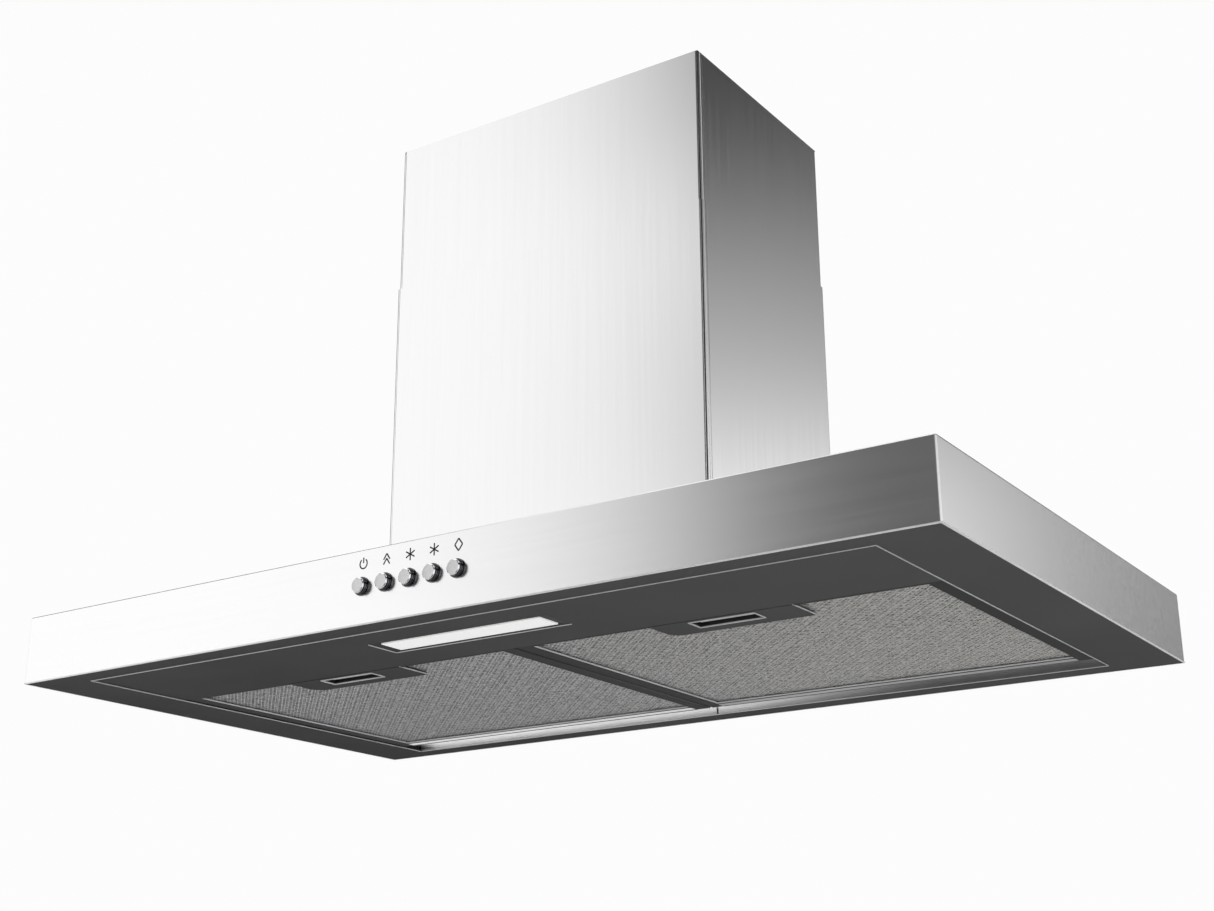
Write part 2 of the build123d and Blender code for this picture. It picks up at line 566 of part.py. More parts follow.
with BuildPart() as blower_wheel:
    with BuildSketch(Plane.YZ.offset(-1.5)):
        with Locations((FAN_Y, FAN_Z)):
            Circle(WHEEL_R)
            Circle(SHAFT_R, mode=Mode.SUBTRACT)
    extrude(amount=3.0)
    rod("x", 10, (-12, FAN_Y, FAN_Z), 12)
    rod("x", SHAFT_R, (-13, FAN_Y, FAN_Z), 14, mode=Mode.SUBTRACT)
    for x in (-WHEEL_HALF, WHEEL_HALF - RIM_T):
        with BuildSketch(Plane.YZ.offset(x)):
            with Locations((FAN_Y, FAN_Z)):
                Circle(WHEEL_R)
                Circle(WHEEL_R - 9, mode=Mode.SUBTRACT)
        extrude(amount=RIM_T)
    with BuildSketch(Plane.YZ.offset(-WHEEL_HALF)):
        with Locations((FAN_Y, FAN_Z)):
            with PolarLocations(WHEEL_R - 4.8, BLADE_COUNT):
                Rectangle(8, 1.2, rotation=35)
    extrude(amount=2 * WHEEL_HALF)
finish(blower_wheel.part, "blower_wheel")

with BuildPart() as motor_shaft:
    rod("x", SHAFT_R, (-14, FAN_Y, FAN_Z), MOTOR_END + 12)
finish(motor_shaft.part, "motor_shaft")

with BuildPart() as outlet_collar:
    with BuildSketch(Plane.XY.offset(BOX_TOP)):
        Circle(COLLAR_R + 6)
        Circle(COLLAR_R - COLLAR_T, mode=Mode.SUBTRACT)
    extrude(amount=1.5)
    with BuildSketch(Plane.XY.offset(BOX_TOP)):
        Circle(COLLAR_R)
        Circle(COLLAR_R - COLLAR_T, mode=Mode.SUBTRACT)
    extrude(amount=COLLAR_TOP - BOX_TOP)
    with BuildSketch(Plane.XY.offset(FLAP_Z - 3.0)):
        Circle(COLLAR_R - COLLAR_T / 2)
        Circle(COLLAR_R - COLLAR_T - 3, mode=Mode.SUBTRACT)
    extrude(amount=1.8)
    for x in (-FLAP_X, FLAP_X):
        spindle_start = (x, -COLLAR_R - 1, FLAP_Z)
        rod("y", SPINDLE_R + HOLE_FIT, spindle_start, 2 * COLLAR_R + 2, mode=Mode.SUBTRACT)
finish(outlet_collar.part, "outlet_collar")


def damper_flap(side):
    """Half-round flap fixed to the spindle that it swings on."""
    with BuildPart() as flap:
        with BuildSketch(Plane.XY.offset(FLAP_Z - 0.5)):
            Circle(COLLAR_R - COLLAR_T - 1.0)
            keep_from = sorted((side * FLAP_X, -side * COLLAR_R))
            with Locations(((keep_from[0] + keep_from[1]) / 2, 0)):
                Rectangle(keep_from[1] - keep_from[0], 2 * COLLAR_R, mode=Mode.SUBTRACT)
        extrude(amount=1.0)
        rod("y", SPINDLE_R, (side * FLAP_X, -COLLAR_R + 0.6, FLAP_Z), 2 * (COLLAR_R - 0.6))
    return flap.part


finish(damper_flap(-1), "damper_flap_left")
finish(damper_flap(1), "damper_flap_right")

# ---------------------------------------------------------------- mains inlet on top of the motor box
INLET_BOX_X = (CABLE_X - 22, CABLE_X + 26)
INLET_BOX_Y = (-30.0, 30.0)
INLET_BOX_TOP = -222.0
PLASTIC_T = 1.5
LID_T = 2.0
GLAND_BORE_R = 4.0
GLAND_THREAD_R = 6.0
GLAND_HEX_H = 5.0
GLAND_TOP = -204.0

with BuildPart() as junction_box:
    block(INLET_BOX_X, INLET_BOX_Y, (BOX_TOP, INLET_BOX_TOP))
    inner_x = (INLET_BOX_X[0] + PLASTIC_T, INLET_BOX_X[1] - PLASTIC_T)
    inner_y = (INLET_BOX_Y[0] + PLASTIC_T, INLET_BOX_Y[1] - PLASTIC_T)
    block(inner_x, inner_y, (BOX_TOP + PLASTIC_T, INLET_BOX_TOP + 1), mode=Mode.SUBTRACT)
    rod("z", WIRE_HOLE_R, (CABLE_X, 0, BOX_TOP - 1), 4, mode=Mode.SUBTRACT)
    rod("z", COLLAR_R + 6.6, (0, 0, BOX_TOP - 1), 8, mode=Mode.SUBTRACT)
finish(junction_box.part, "junction_box")

with BuildPart() as junction_lid:
    block(INLET_BOX_X, INLET_BOX_Y, (INLET_BOX_TOP, INLET_BOX_TOP + LID_T))
    fillet(junction_lid.edges().filter_by(Axis.Z), 1.5)
    rod("z", GLAND_THREAD_R + 0.1, (CABLE_X, 0, INLET_BOX_TOP - 1), 5, mode=Mode.SUBTRACT)
finish(junction_lid.part, "junction_lid")

with BuildPart() as cable_gland:
    rod("z", GLAND_THREAD_R, (CABLE_X, 0, INLET_BOX_TOP - 4), 8)
    with BuildSketch(Plane.XY.offset(INLET_BOX_TOP + LID_T)):
        with Locations((CABLE_X, 0)):
            RegularPolygon(9.0, 6)
    extrude(amount=GLAND_HEX_H)
    cap_z = INLET_BOX_TOP + LID_T + GLAND_HEX_H
    rod("z", 7.5, (CABLE_X, 0, cap_z), GLAND_TOP - cap_z)
    fillet(cable_gland.faces().sort_by(Axis.Z)[-1].edges(), 1.5)
    rod("z", GLAND_BORE_R, (CABLE_X, 0, INLET_BOX_TOP - 5), 30, mode=Mode.SUBTRACT)
finish(cable_gland.part, "cable_gland")

with BuildPart() as terminal_block:
    terminal_x = (INLET_BOX_X[0] + 4, INLET_BOX_X[0] + 14)
    block(terminal_x, (-16, 16), (BOX_TOP + PLASTIC_T, BOX_TOP + 16))
    for y in (-10, 0, 10):
        rod("z", 2.0, (INLET_BOX_X[0] + 9, y, BOX_TOP + 10), 8, mode=Mode.SUBTRACT)
finish(terminal_block.part, "terminal_block")

# ---------------------------------------------------------------- control electronics inside the motor box
CONTROL_X = (-MOTOR_HALF_X + BOX_T, -MOTOR_HALF_X + BOX_T + 34)
CONTROL_Y = (-55.0, 55.0)
CONTROL_Z = (-430.0, -340.0)
CAPACITOR_R = 16.0
CAPACITOR_Y = 55.0
CAPACITOR_Z = -450.0
CAPACITOR_LENGTH = 60.0

with BuildPart() as control_case:
    block(CONTROL_X, CONTROL_Y, CONTROL_Z)
    case_in_x = (CONTROL_X[0] + PLASTIC_T, CONTROL_X[1] + 1)
    case_in_y = (CONTROL_Y[0] + PLASTIC_T, CONTROL_Y[1] - PLASTIC_T)
    case_in_z = (CONTROL_Z[0] + PLASTIC_T, CONTROL_Z[1] - PLASTIC_T)
    block(case_in_x, case_in_y, case_in_z, mode=Mode.SUBTRACT)
finish(control_case.part, "control_case")

with BuildPart() as control_case_lid:
    block((CONTROL_X[1], CONTROL_X[1] + LID_T), CONTROL_Y, CONTROL_Z)
    fillet(control_case_lid.edges().filter_by(Axis.X), 2)
finish(control_case_lid.part, "control_case_lid")

with BuildPart() as control_board:
    board_x = CONTROL_X[0] + 5
    part_x = board_x + BOARD_T
    block((board_x, part_x), (-50, 50), (-425, -345))
    block((part_x, board_x + 20), (-45, -15), (-420, -385))
    block((part_x, board_x + 16), (0, 22), (-400, -375))
    block((part_x, board_x + 14), (28, 46), (-420, -350))
finish(control_board.part, "control_board")

with BuildPart() as motor_capacitor:
    capacitor_x = MOTOR_HALF_X - BOX_T - CAPACITOR_R - 1
    rod("z", CAPACITOR_R, (capacitor_x, CAPACITOR_Y, CAPACITOR_Z), CAPACITOR_LENGTH)
    fillet(motor_capacitor.edges().filter_by(GeomType.CIRCLE), 2)
    stud_start = (capacitor_x, CAPACITOR_Y, CAPACITOR_Z + CAPACITOR_LENGTH - 1)
    rod("z", 4, stud_start, 8)
finish(motor_capacitor.part, "motor_capacitor")

# ================================================================ switches
BEZEL_R = 7.8
CAP_R = 6.5
CAP_OUT = 6.0
SWITCH_X = (BUTTON_XS[0] - 16, BUTTON_XS[-1] + 16)
SWITCH_BACK = 26.0
SWITCH_Z = (low(20), low(43))
SWITCH_WALL = 2.0
SWITCH_BOARD_FRONT = 18.0
CAP_GAP = 0.35  # between a button and its bezel
STEM_R = 3.0

with BuildPart() as switch_housing:
    block(SWITCH_X, (back(CANOPY_SHEET), back(SWITCH_BACK)), SWITCH_Z)
    room_x = (SWITCH_X[0] + SWITCH_WALL, SWITCH_X[1] - SWITCH_WALL)
    room_z = (SWITCH_Z[0] + SWITCH_WALL, SWITCH_Z[1] - SWITCH_WALL)
    block(room_x, (back(CANOPY_SHEET + 3), back(SWITCH_BACK + 1)), room_z, mode=Mode.SUBTRACT)
    for x in BUTTON_XS:
        rod("y", BUTTON_HOLE_R, (x, back(-1), BUTTON_Z), 8, mode=Mode.SUBTRACT)
finish(switch_housing.part, "switch_housing")

with BuildPart() as switch_board:
    board_back = SWITCH_BOARD_FRONT + BOARD_T
    block(room_x, (back(SWITCH_BOARD_FRONT), back(board_back)), room_z)
    for x in BUTTON_XS:
        key_y = (back(13.6), back(SWITCH_BOARD_FRONT))
        block((x - 3, x + 3), key_y, (BUTTON_Z - 3, BUTTON_Z + 3))
    block((SWITCH_X[1] - 14, SWITCH_X[1] - 4), (back(board_back), back(24)), (low(26), low(37)))
finish(switch_board.part, "switch_board")

with BuildPart() as button_bezels:
    for x in BUTTON_XS:
        bezel_plane = Plane(origin=(x, FRONT_Y, BUTTON_Z), x_dir=(1, 0, 0), z_dir=(0, -1, 0))
        with BuildSketch(bezel_plane):
            Circle(BEZEL_R)
            Circle(CAP_R + CAP_GAP, mode=Mode.SUBTRACT)
        extrude(amount=0.9)
finish(button_bezels.part, "button_bezels")

BUTTON_NAMES = ("button_power", "button_boost", "button_fan_low", "button_fan_high", "button_light")
for name, x in zip(BUTTON_NAMES, BUTTON_XS):
    with BuildPart() as button:
        rod("y", CAP_R, (x, FRONT_Y - CAP_OUT, BUTTON_Z), CAP_OUT + 5)
        fillet(button.faces().sort_by(Axis.Y)[0].edges(), 0.5)
        rod("y", STEM_R, (x, FRONT_Y + 4, BUTTON_Z), 5.8)
    finish(button.part, name)

# ================================================================ grease filters
FILTER_SHIFT = 390.5  # the left filter is the right one moved across
FILTER_X = (1.0, 389.5)
FILTER_Y = (141.6, 466.0)
FILTER_H = (1.5, 11.5)
LIP_SIDE = 14.5
LIP_BACK = 14.0
LIP_FRONT = 5.0
FILTER_T = 1.2
MESH_H = 3.5
MESH_TOP = 6.5
TAB_X = (134.0, 264.0)
TAB_BACK = 181.0
TAB_H = (0.9, 3.4)
GRIP_X = (168.0, 229.0)
GRIP_Y = (145.4, 166.0)
CUP_X = (165.0, 232.0)
CUP_Y = (143.0, 169.0)
CUP_TOP = 11.2
TONGUE_X = (190.0, 207.0)
TONGUE_H = (6.2, 8.2)
TONGUE_ROOM = 0.5
BAR_X = (172.0, 225.0)
CUP_T = 1.2
RELIEF = 1.8  # depth of the notch that clears the centre bracket
RELIEF_Y = (446.0, 468.0)


def filter_frame(shift):
    """Rolled frame of one grease filter: lips below, a wall all round, and an inner upstand for the mesh."""
    x = (FILTER_X[0] + shift, FILTER_X[1] + shift)
    y = (back(FILTER_Y[0]), back(FILTER_Y[1]))
    open_x = (x[0] + LIP_SIDE, x[1] - LIP_SIDE)
    open_y = (y[0] + LIP_FRONT, y[1] - LIP_BACK)
    with BuildPart() as frame:
        block(x, y, (low(FILTER_H[0]), low(FILTER_H[0] + FILTER_T)))
        edge_x = (open_x[0] - 1, open_x[1] + 1)
        edge_y = (open_y[0] - 1, open_y[1] + 1)
        block(edge_x, edge_y, (low(FILTER_H[0]), low(MESH_H)))
        block(open_x, open_y, (low(0), low(MESH_H + 1)), mode=Mode.SUBTRACT)
        wall_ring(x, y, (low(FILTER_H[0]), low(FILTER_H[1])), FILTER_T)
        lip = frame.faces().sort_by(Axis.Z)[0]
        fillet(lip.outer_wire().edges(), EDGE_R)
        fillet(frame.faces().sort_by(Axis.Z)[0].inner_wires()[0].edges(), 0.6)
        tab_x = (TAB_X[0] + shift - 0.3, TAB_X[1] + shift + 0.3)
        block(tab_x, (y[0] - 1, open_y[0] + 0.9), (low(0), low(MESH_H)), mode=Mode.SUBTRACT)
        tongue_x = (TONGUE_X[0] + shift - TONGUE_ROOM, TONGUE_X[1] + shift + TONGUE_ROOM)
        tongue_z = (low(TONGUE_H[0] - TONGUE_ROOM), low(TONGUE_H[1] + TONGUE_ROOM))
        block(tongue_x, (y[0] - 1, y[0] + 2), tongue_z, mode=Mode.SUBTRACT)
        inner_edge = x[0] if shift == 0 else x[1]
        toward = 1 if shift == 0 else -1
        relief_x = sorted((inner_edge - toward, inner_edge + toward * RELIEF))
        relief_y = (back(RELIEF_Y[0]), back(RELIEF_Y[1]))
        block(relief_x, relief_y, (low(0), low(13)), mode=Mode.SUBTRACT)
        web_x = sorted((inner_edge + toward * RELIEF, inner_edge + toward * (RELIEF + FILTER_T)))
        block(web_x, (relief_y[0], y[1]), (low(FILTER_H[0]), low(FILTER_H[1])))
        pivot_start = (x[0] - 2, back(PIVOT_BACK), low(PIVOT_HEIGHT))
        rod("x", PIVOT_R, pivot_start, x[1] - x[0] + 4, mode=Mode.SUBTRACT)
    return frame.part


def filter_mesh(shift):
    """Pack of expanded mesh layers, with a cut-out for the finger cup."""
    with BuildPart() as mesh:
        x = (FILTER_X[0] + shift + 3.2, FILTER_X[1] + shift - 3.2)
        y = (back(FILTER_Y[0] + FILTER_T), back(FILTER_Y[1] - FILTER_T - 0.2))
        block(x, y, (low(MESH_H), low(MESH_TOP)))
        cup_x = (CUP_X[0] + shift - 0.5, CUP_X[1] + shift + 0.5)
        block(cup_x, (y[0] - 1, back(CUP_Y[1] + 0.5)), (low(0), low(12)), mode=Mode.SUBTRACT)
        for pin_x in (x[0] - 1, x[1] - 8):
            rod("x", PIVOT_R + 0.1, (pin_x, back(PIVOT_BACK), low(PIVOT_HEIGHT)), 9, mode=Mode.SUBTRACT)
    return mesh.part


def filter_handle(shift):
    """Handle tab with a finger slot and the closed cup above it."""
    with BuildPart() as handle:
        x = (TAB_X[0] + shift, TAB_X[1] + shift)
        block(x, (back(FILTER_Y[0] + 0.1), back(TAB_BACK)), (low(TAB_H[0]), low(TAB_H[1])))
        corner = handle.edges().filter_by(Axis.Z).group_by(Axis.Y)[-1].sort_by(Axis.X)[0]
        fillet(corner, 12)
        cup_x = (CUP_X[0] + shift, CUP_X[1] + shift)
        cup_y = (back(CUP_Y[0]), back(CUP_Y[1]))
        block(cup_x, cup_y, (low(TAB_H[1]), low(CUP_TOP)))
        room_x = (cup_x[0] + CUP_T, cup_x[1] - CUP_T)
        room_y = (cup_y[0] + CUP_T, cup_y[1] - CUP_T)
        block(room_x, room_y, (low(TAB_H[1]), low(CUP_TOP - CUP_T)), mode=Mode.SUBTRACT)
        with BuildSketch(Plane.XY.offset(low(0))):
            with Locations(((GRIP_X[0] + GRIP_X[1]) / 2 + shift, back((GRIP_Y[0] + GRIP_Y[1]) / 2))):
                RectangleRounded(GRIP_X[1] - GRIP_X[0], GRIP_Y[1] - GRIP_Y[0], 2.5)
        extrude(amount=5, mode=Mode.SUBTRACT)
        tongue_x = (TONGUE_X[0] + shift - TONGUE_ROOM, TONGUE_X[1] + shift + TONGUE_ROOM)
        tongue_z = (low(TONGUE_H[0] - TONGUE_ROOM), low(TONGUE_H[1] + TONGUE_ROOM))
        block(tongue_x, (cup_y[0] - 1, cup_y[0] + 2), tongue_z, mode=Mode.SUBTRACT)
    return handle.part


def filter_latch(shift):
    """Sliding latch: finger bar, carrier plate and a tongue towards the front."""
    with BuildPart() as latch:
        bar_x = (BAR_X[0] + shift, BAR_X[1] + shift)
        block(bar_x, (back(156), back(161)), (low(3.8), low(9.5)))
        block(bar_x, (back(146.5), back(161)), (low(8.0), low(9.5)))
        tongue_x = (TONGUE_X[0] + shift, TONGUE_X[1] + shift)
        block(tongue_x, (back(141.3), back(150)), (low(TONGUE_H[0]), low(TONGUE_H[1])))
    return latch.part


def filter_pins(shift):
    """Two pivot pins, one in each side wall of the frame."""
    right = shift == 0
    outer = FILTER_X[1] if right else FILTER_X[0] + shift
    inner = FILTER_X[0] if right else FILTER_X[1] + shift
    away = 1 if right else -1
    with BuildPart() as pins:
        for start, end in ((outer - away * 6, outer + away * 2.9), (inner - away * 0.9, inner + away * 8)):
            left_end = min(start, end)
            rod("x", PIVOT_R, (left_end, back(PIVOT_BACK), low(PIVOT_HEIGHT)), abs(end - start))
    return pins.part


for side_name, shift in (("left", -FILTER_SHIFT), ("right", 0.0)):
    finish(filter_frame(shift), f"filter_frame_{side_name}")
    finish(filter_mesh(shift), f"filter_mesh_{side_name}")
    finish(filter_handle(shift), f"filter_handle_{side_name}")
    finish(filter_latch(shift), f"filter_latch_{side_name}")
    finish(filter_pins(shift), f"filter_pins_{side_name}")
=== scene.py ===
import json
import math

import bpy
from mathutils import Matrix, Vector


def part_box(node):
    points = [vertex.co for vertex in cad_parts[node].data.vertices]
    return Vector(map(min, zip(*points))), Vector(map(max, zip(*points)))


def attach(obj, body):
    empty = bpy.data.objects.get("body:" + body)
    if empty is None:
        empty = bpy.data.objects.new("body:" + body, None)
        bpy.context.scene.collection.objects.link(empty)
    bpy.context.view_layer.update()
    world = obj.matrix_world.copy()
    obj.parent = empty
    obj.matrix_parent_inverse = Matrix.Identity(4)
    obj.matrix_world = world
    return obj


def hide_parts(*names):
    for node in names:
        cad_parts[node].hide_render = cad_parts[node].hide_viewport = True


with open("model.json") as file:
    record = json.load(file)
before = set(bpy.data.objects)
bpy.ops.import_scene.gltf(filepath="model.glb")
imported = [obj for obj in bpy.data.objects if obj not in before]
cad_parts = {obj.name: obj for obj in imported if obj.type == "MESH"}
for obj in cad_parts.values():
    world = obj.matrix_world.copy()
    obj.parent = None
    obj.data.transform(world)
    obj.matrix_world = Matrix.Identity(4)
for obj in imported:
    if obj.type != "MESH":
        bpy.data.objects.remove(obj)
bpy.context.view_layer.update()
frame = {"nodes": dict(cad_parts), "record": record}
nodes = frame["nodes"]
MM = 0.001

# ------------------------------------------------------------------ places taken from the frame
canopy_low, canopy_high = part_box("canopy_shell")
FRONT_Y = canopy_low.y
BASE_Z = canopy_low.z


# ------------------------------------------------------------------ shader helpers
def curve(tree, source, stops, blend="LINEAR"):
    """Turn a number into another one, along runs between a few stops (place, value)."""
    low, high = stops[0][0], stops[-1][0]
    spread = tree.nodes.new("ShaderNodeMapRange")
    spread.inputs["From Min"].default_value = low
    spread.inputs["From Max"].default_value = high
    tree.links.new(source, spread.inputs["Value"])
    ramp = tree.nodes.new("ShaderNodeValToRGB")
    ramp.color_ramp.interpolation = blend
    elements = ramp.color_ramp.elements
    elements[0].color = (stops[0][1],) * 3 + (1,)
    elements[1].color = (stops[-1][1],) * 3 + (1,)
    for place, value in stops[1:-1]:
        elements.new((place - low) / (high - low)).color = (value, value, value, 1)
    tree.links.new(spread.outputs["Result"], ramp.inputs["Fac"])
    return ramp.outputs["Color"]


def arithmetic(tree, operation, *terms):
    """Result of a sum or product of plain numbers and node outputs."""
    made = tree.nodes.new("ShaderNodeMath")
    made.operation = operation
    for socket, term in zip(made.inputs, terms):
        if isinstance(term, float):
            socket.default_value = term
        else:
            tree.links.new(term, socket)
    return made.outputs["Value"]


class Graph:
    """A material's node tree, with short calls for adding and joining nodes."""

    def __init__(self, name):
        self.material = bpy.data.materials.new(name)
        self.material.use_nodes = True
        self.tree = self.material.node_tree
        self.shader = self.tree.nodes["Principled BSDF"]

    def node(self, kind, inputs=None, **settings):
        made = self.tree.nodes.new(kind)
        for key, value in settings.items():
            setattr(made, key, value)
        for key, value in (inputs or {}).items():
            made.inputs[key].default_value = value
        return made

    def join(self, source, target):
        self.tree.links.new(source, target)

    def place(self, scale):
        """Object-space coordinates, stretched by a scale on each axis."""
        coordinates = self.node("ShaderNodeTexCoord")
        mapping = self.node("ShaderNodeMapping", {"Scale": scale})
        self.join(coordinates.outputs["Object"], mapping.inputs["Vector"])
        return mapping.outputs["Vector"]

    def noise(self, scale, frequency, detail=3.0, roughness=0.55):
        settings = {"Scale": frequency, "Detail": detail, "Roughness": roughness}
        made = self.node("ShaderNodeTexNoise", settings)
        self.join(self.place(scale), made.inputs["Vector"])
        return made.outputs["Fac"]

    def ramp(self, value, low, high, start=0.3, end=0.7):
        """Map a 0-1 value to a range between two numbers."""
        made = self.node(
            "ShaderNodeMapRange",
            {"From Min": start, "From Max": end, "To Min": low, "To Max": high},
        )
        self.join(value, made.inputs["Value"])
        return made.outputs["Result"]

    def tint(self, value, dark, light, start=0.3, end=0.7):
        """Colour between two tones, chosen by a 0-1 value."""
        made = self.node("ShaderNodeMix", data_type="RGBA")
        made.inputs["A"].default_value = (*dark, 1)
        made.inputs["B"].default_value = (*light, 1)
        self.join(self.ramp(value, 0, 1, start, end), made.inputs["Factor"])
        self.join(made.outputs["Result"], self.shader.inputs["Base Color"])

    def bump(self, height, strength, distance, normal=None):
        made = self.node("ShaderNodeBump", {"Strength": strength, "Distance": distance})
        self.join(height, made.inputs["Height"])
        if normal is not None:
            self.join(normal, made.inputs["Normal"])
        return made.outputs["Normal"]

    def axes(self):
        """Place on the surface, one number for each axis, in metres."""
        split = self.node("ShaderNodeSeparateXYZ")
        self.join(self.place((1, 1, 1)), split.inputs["Vector"])
        return split.outputs

    def set(self, **values):
        for key, value in values.items():
            self.shader.inputs[key.replace("_", " ")].default_value = value
        return self


def brushed_steel(name, tone, grain_scale):
    """Stainless sheet with a very fine grain, faint clouding and slow changes of gloss."""
    g = Graph(name)
    grain = g.noise(grain_scale, 240.0, 3.0)
    cloud = g.noise((1, 1, 1), 2.5, 2.0)
    g.tint(cloud, (tone, tone, tone * 1.004), (tone + 0.02, tone + 0.02, tone + 0.02))
    g.set(Metallic=1.0)
    g.join(g.ramp(grain, 0.21, 0.25), g.shader.inputs["Roughness"])
    g.join(g.bump(grain, 0.02, 0.00005), g.shader.inputs["Normal"])
    return g.material


def charcoal(name="charcoal_steel"):
    """Dark satin coating on the underside, with a fine powder texture, and painted light: the colour grows
    lighter towards the front and the right.
    """
    g = Graph(name)
    speck = g.noise((1, 1, 1), 900.0, 2.0)
    cloud = g.noise((1, 1, 1), 6.0, 2.0)
    axes = g.axes()
    # painted light: the base colour runs from near-black at the back left to dark grey at the front right
    across = arithmetic(g.tree, "MULTIPLY_ADD", axes["X"], 0.8, 0.5)
    value = arithmetic(g.tree, "MULTIPLY_ADD", axes["Y"], -0.6, across)
    g.tint(value, (0.010, 0.010, 0.0102), (0.084, 0.084, 0.0845), 0.0, 1.0)
    g.join(g.ramp(cloud, 0.56, 0.64), g.shader.inputs["Roughness"])
    g.shader.inputs["Specular IOR Level"].default_value = 0.08
    g.join(g.bump(speck, 0.04, 0.00005), g.shader.inputs["Normal"])
    return g.material


def painted_highlight_edge():
    """Near-white, not metallic: a painted highlight on a bent sheet edge."""
    g = Graph("painted_hem_highlight")
    grain = g.noise((1, 1, 1), 300.0, 2.0)
    g.tint(grain, (0.90, 0.90, 0.90), (0.96, 0.96, 0.96))
    g.join(g.ramp(grain, 0.34, 0.42), g.shader.inputs["Roughness"])
    return g.material


def painted_highlight_bead():
    """Light grey rod on a folded sheet edge: a painted highlight where the rounded fold catches the light."""
    g = Graph("painted_fold_highlight")
    grain = g.noise((1, 1, 1), 120.0, 3.0)
    g.tint(grain, (0.66, 0.66, 0.665), (0.78, 0.78, 0.78))
    g.join(g.ramp(grain, 0.35, 0.5), g.shader.inputs["Roughness"])
    return g.material


def painted_light_strip(name, stops):
    """Drawn aluminium with fine lines along its length; its colour is painted light, following given tones
    across the hood, darker towards the right.
    """
    g = Graph(name)
    grain = g.noise((0.01, 1.0, 1.0), 700.0, 3.0)
    tone = curve(g.tree, g.axes()["X"], stops)
    g.join(tone, g.shader.inputs["Base Color"])
    g.set(Metallic=1.0)
    g.join(g.ramp(grain, 0.26, 0.36), g.shader.inputs["Roughness"])
    return g.material


def filter_metal():
    """Rolled aluminium frame of a filter."""
    g = Graph("filter_frame_aluminium")
    grain = g.noise((1, 1, 1), 260.0, 3.0)
    g.tint(grain, (0.036, 0.036, 0.0365), (0.048, 0.048, 0.0485))
    g.shader.inputs["Specular IOR Level"].default_value = 0.05
    g.join(g.ramp(grain, 0.54, 0.64), g.shader.inputs["Roughness"])
    return g.material


def mesh_metal():
    """Expanded aluminium strands with painted light: random painted glints from strand to strand, and the
    colour grows lighter towards the right.
    """
    g = Graph("expanded_aluminium")
    cloud = g.noise((1, 1, 1), 9.0, 2.0)
    glint = g.noise((1.0, 0.30, 1.0), 520.0, 1.0)
    sparkle = g.ramp(glint, 0.0, 1.0, 0.36, 0.64)
    # painted light: lighter towards the right, plus painted glints
    value = arithmetic(g.tree, "MULTIPLY_ADD", g.axes()["X"], 0.9, sparkle)
    g.tint(value, (0.30, 0.31, 0.335), (0.72, 0.70, 0.66), 0.0, 1.0)
    g.set(Metallic=0.4)
    g.join(g.ramp(cloud, 0.30, 0.40), g.shader.inputs["Roughness"])
    return g.material


def metal(name, dark, light, rough, frequency=180.0):
    g = Graph(name)
    grain = g.noise((1, 1, 1), frequency, 3.0)
    g.tint(grain, dark, light)
    g.set(Metallic=1.0)
    g.join(g.ramp(grain, rough[0], rough[1]), g.shader.inputs["Roughness"])
    return g.material


def galvanised():
    """Zinc spangle on the hidden steelwork."""
    g = Graph("galvanised")
    cells = g.node("ShaderNodeTexVoronoi", {"Scale": 90.0})
    g.join(g.place((1, 1, 1)), cells.inputs["Vector"])
    g.tint(cells.outputs["Distance"], (0.42, 0.44, 0.46), (0.62, 0.64, 0.66), 0.0, 0.8)
    g.set(Metallic=0.9)
    g.join(g.ramp(cells.outputs["Distance"], 0.32, 0.5, 0.0, 0.8), g.shader.inputs["Roughness"])
    return g.material


def plastic(name, dark, light, rough):
    g = Graph(name)
    speck = g.noise((1, 1, 1), 700.0, 2.0)
    g.tint(speck, dark, light)
    g.join(g.ramp(speck, rough[0], rough[1]), g.shader.inputs["Roughness"])
    g.join(g.bump(speck, 0.08, 0.0001), g.shader.inputs["Normal"])
    return g.material


def diffuser():
    """Frosted lamp lens with fine prism ribs."""
    g = Graph("frosted_lens")
    ribs = g.node("ShaderNodeTexWave", {"Scale": 160.0, "Distortion": 0.0}, bands_direction="X")
    g.join(g.place((1, 1, 1)), ribs.inputs["Vector"])
    g.tint(ribs.outputs["Fac"], (0.80, 0.81, 0.82), (0.88, 0.88, 0.88), 0.0, 1.0)
    g.set(Roughness=0.38)
    g.set(Emission_Color=(1.0, 0.99, 0.97, 1))
    g.shader.inputs["Emission Strength"].default_value = 0.33
    g.join(g.bump(ribs.outputs["Fac"], 0.25, 0.0003), g.shader.inputs["Normal"])
    return g.material


CANOPY_STEEL = brushed_steel("canopy_stainless", 0.82, (0.02, 1.0, 1.0))
CHIMNEY_STEEL = brushed_steel("chimney_stainless", 0.80, (1.0, 1.0, 0.02))
# painted highlight on the bent edges of the canopy and the chimney
HEM_HIGHLIGHT = painted_highlight_edge()
# painted highlight on the folded edges round the openings below
BEAD_HIGHLIGHT = painted_highlight_bead()
# painted shade: mid grey rods for the grey lines where the sheet edges turn away from the light
EDGE_GREY = metal("folded_edge_shade", (0.28, 0.28, 0.285), (0.36, 0.36, 0.362), (0.3, 0.4))
# painted shade: a near-black rod for the dark line on the chimney's rounded front-right corner
CORNER_SHADE = metal("painted_corner_shade", (0.04, 0.04, 0.042), (0.06, 0.06, 0.062), (0.3, 0.4))
CHARCOAL = charcoal()
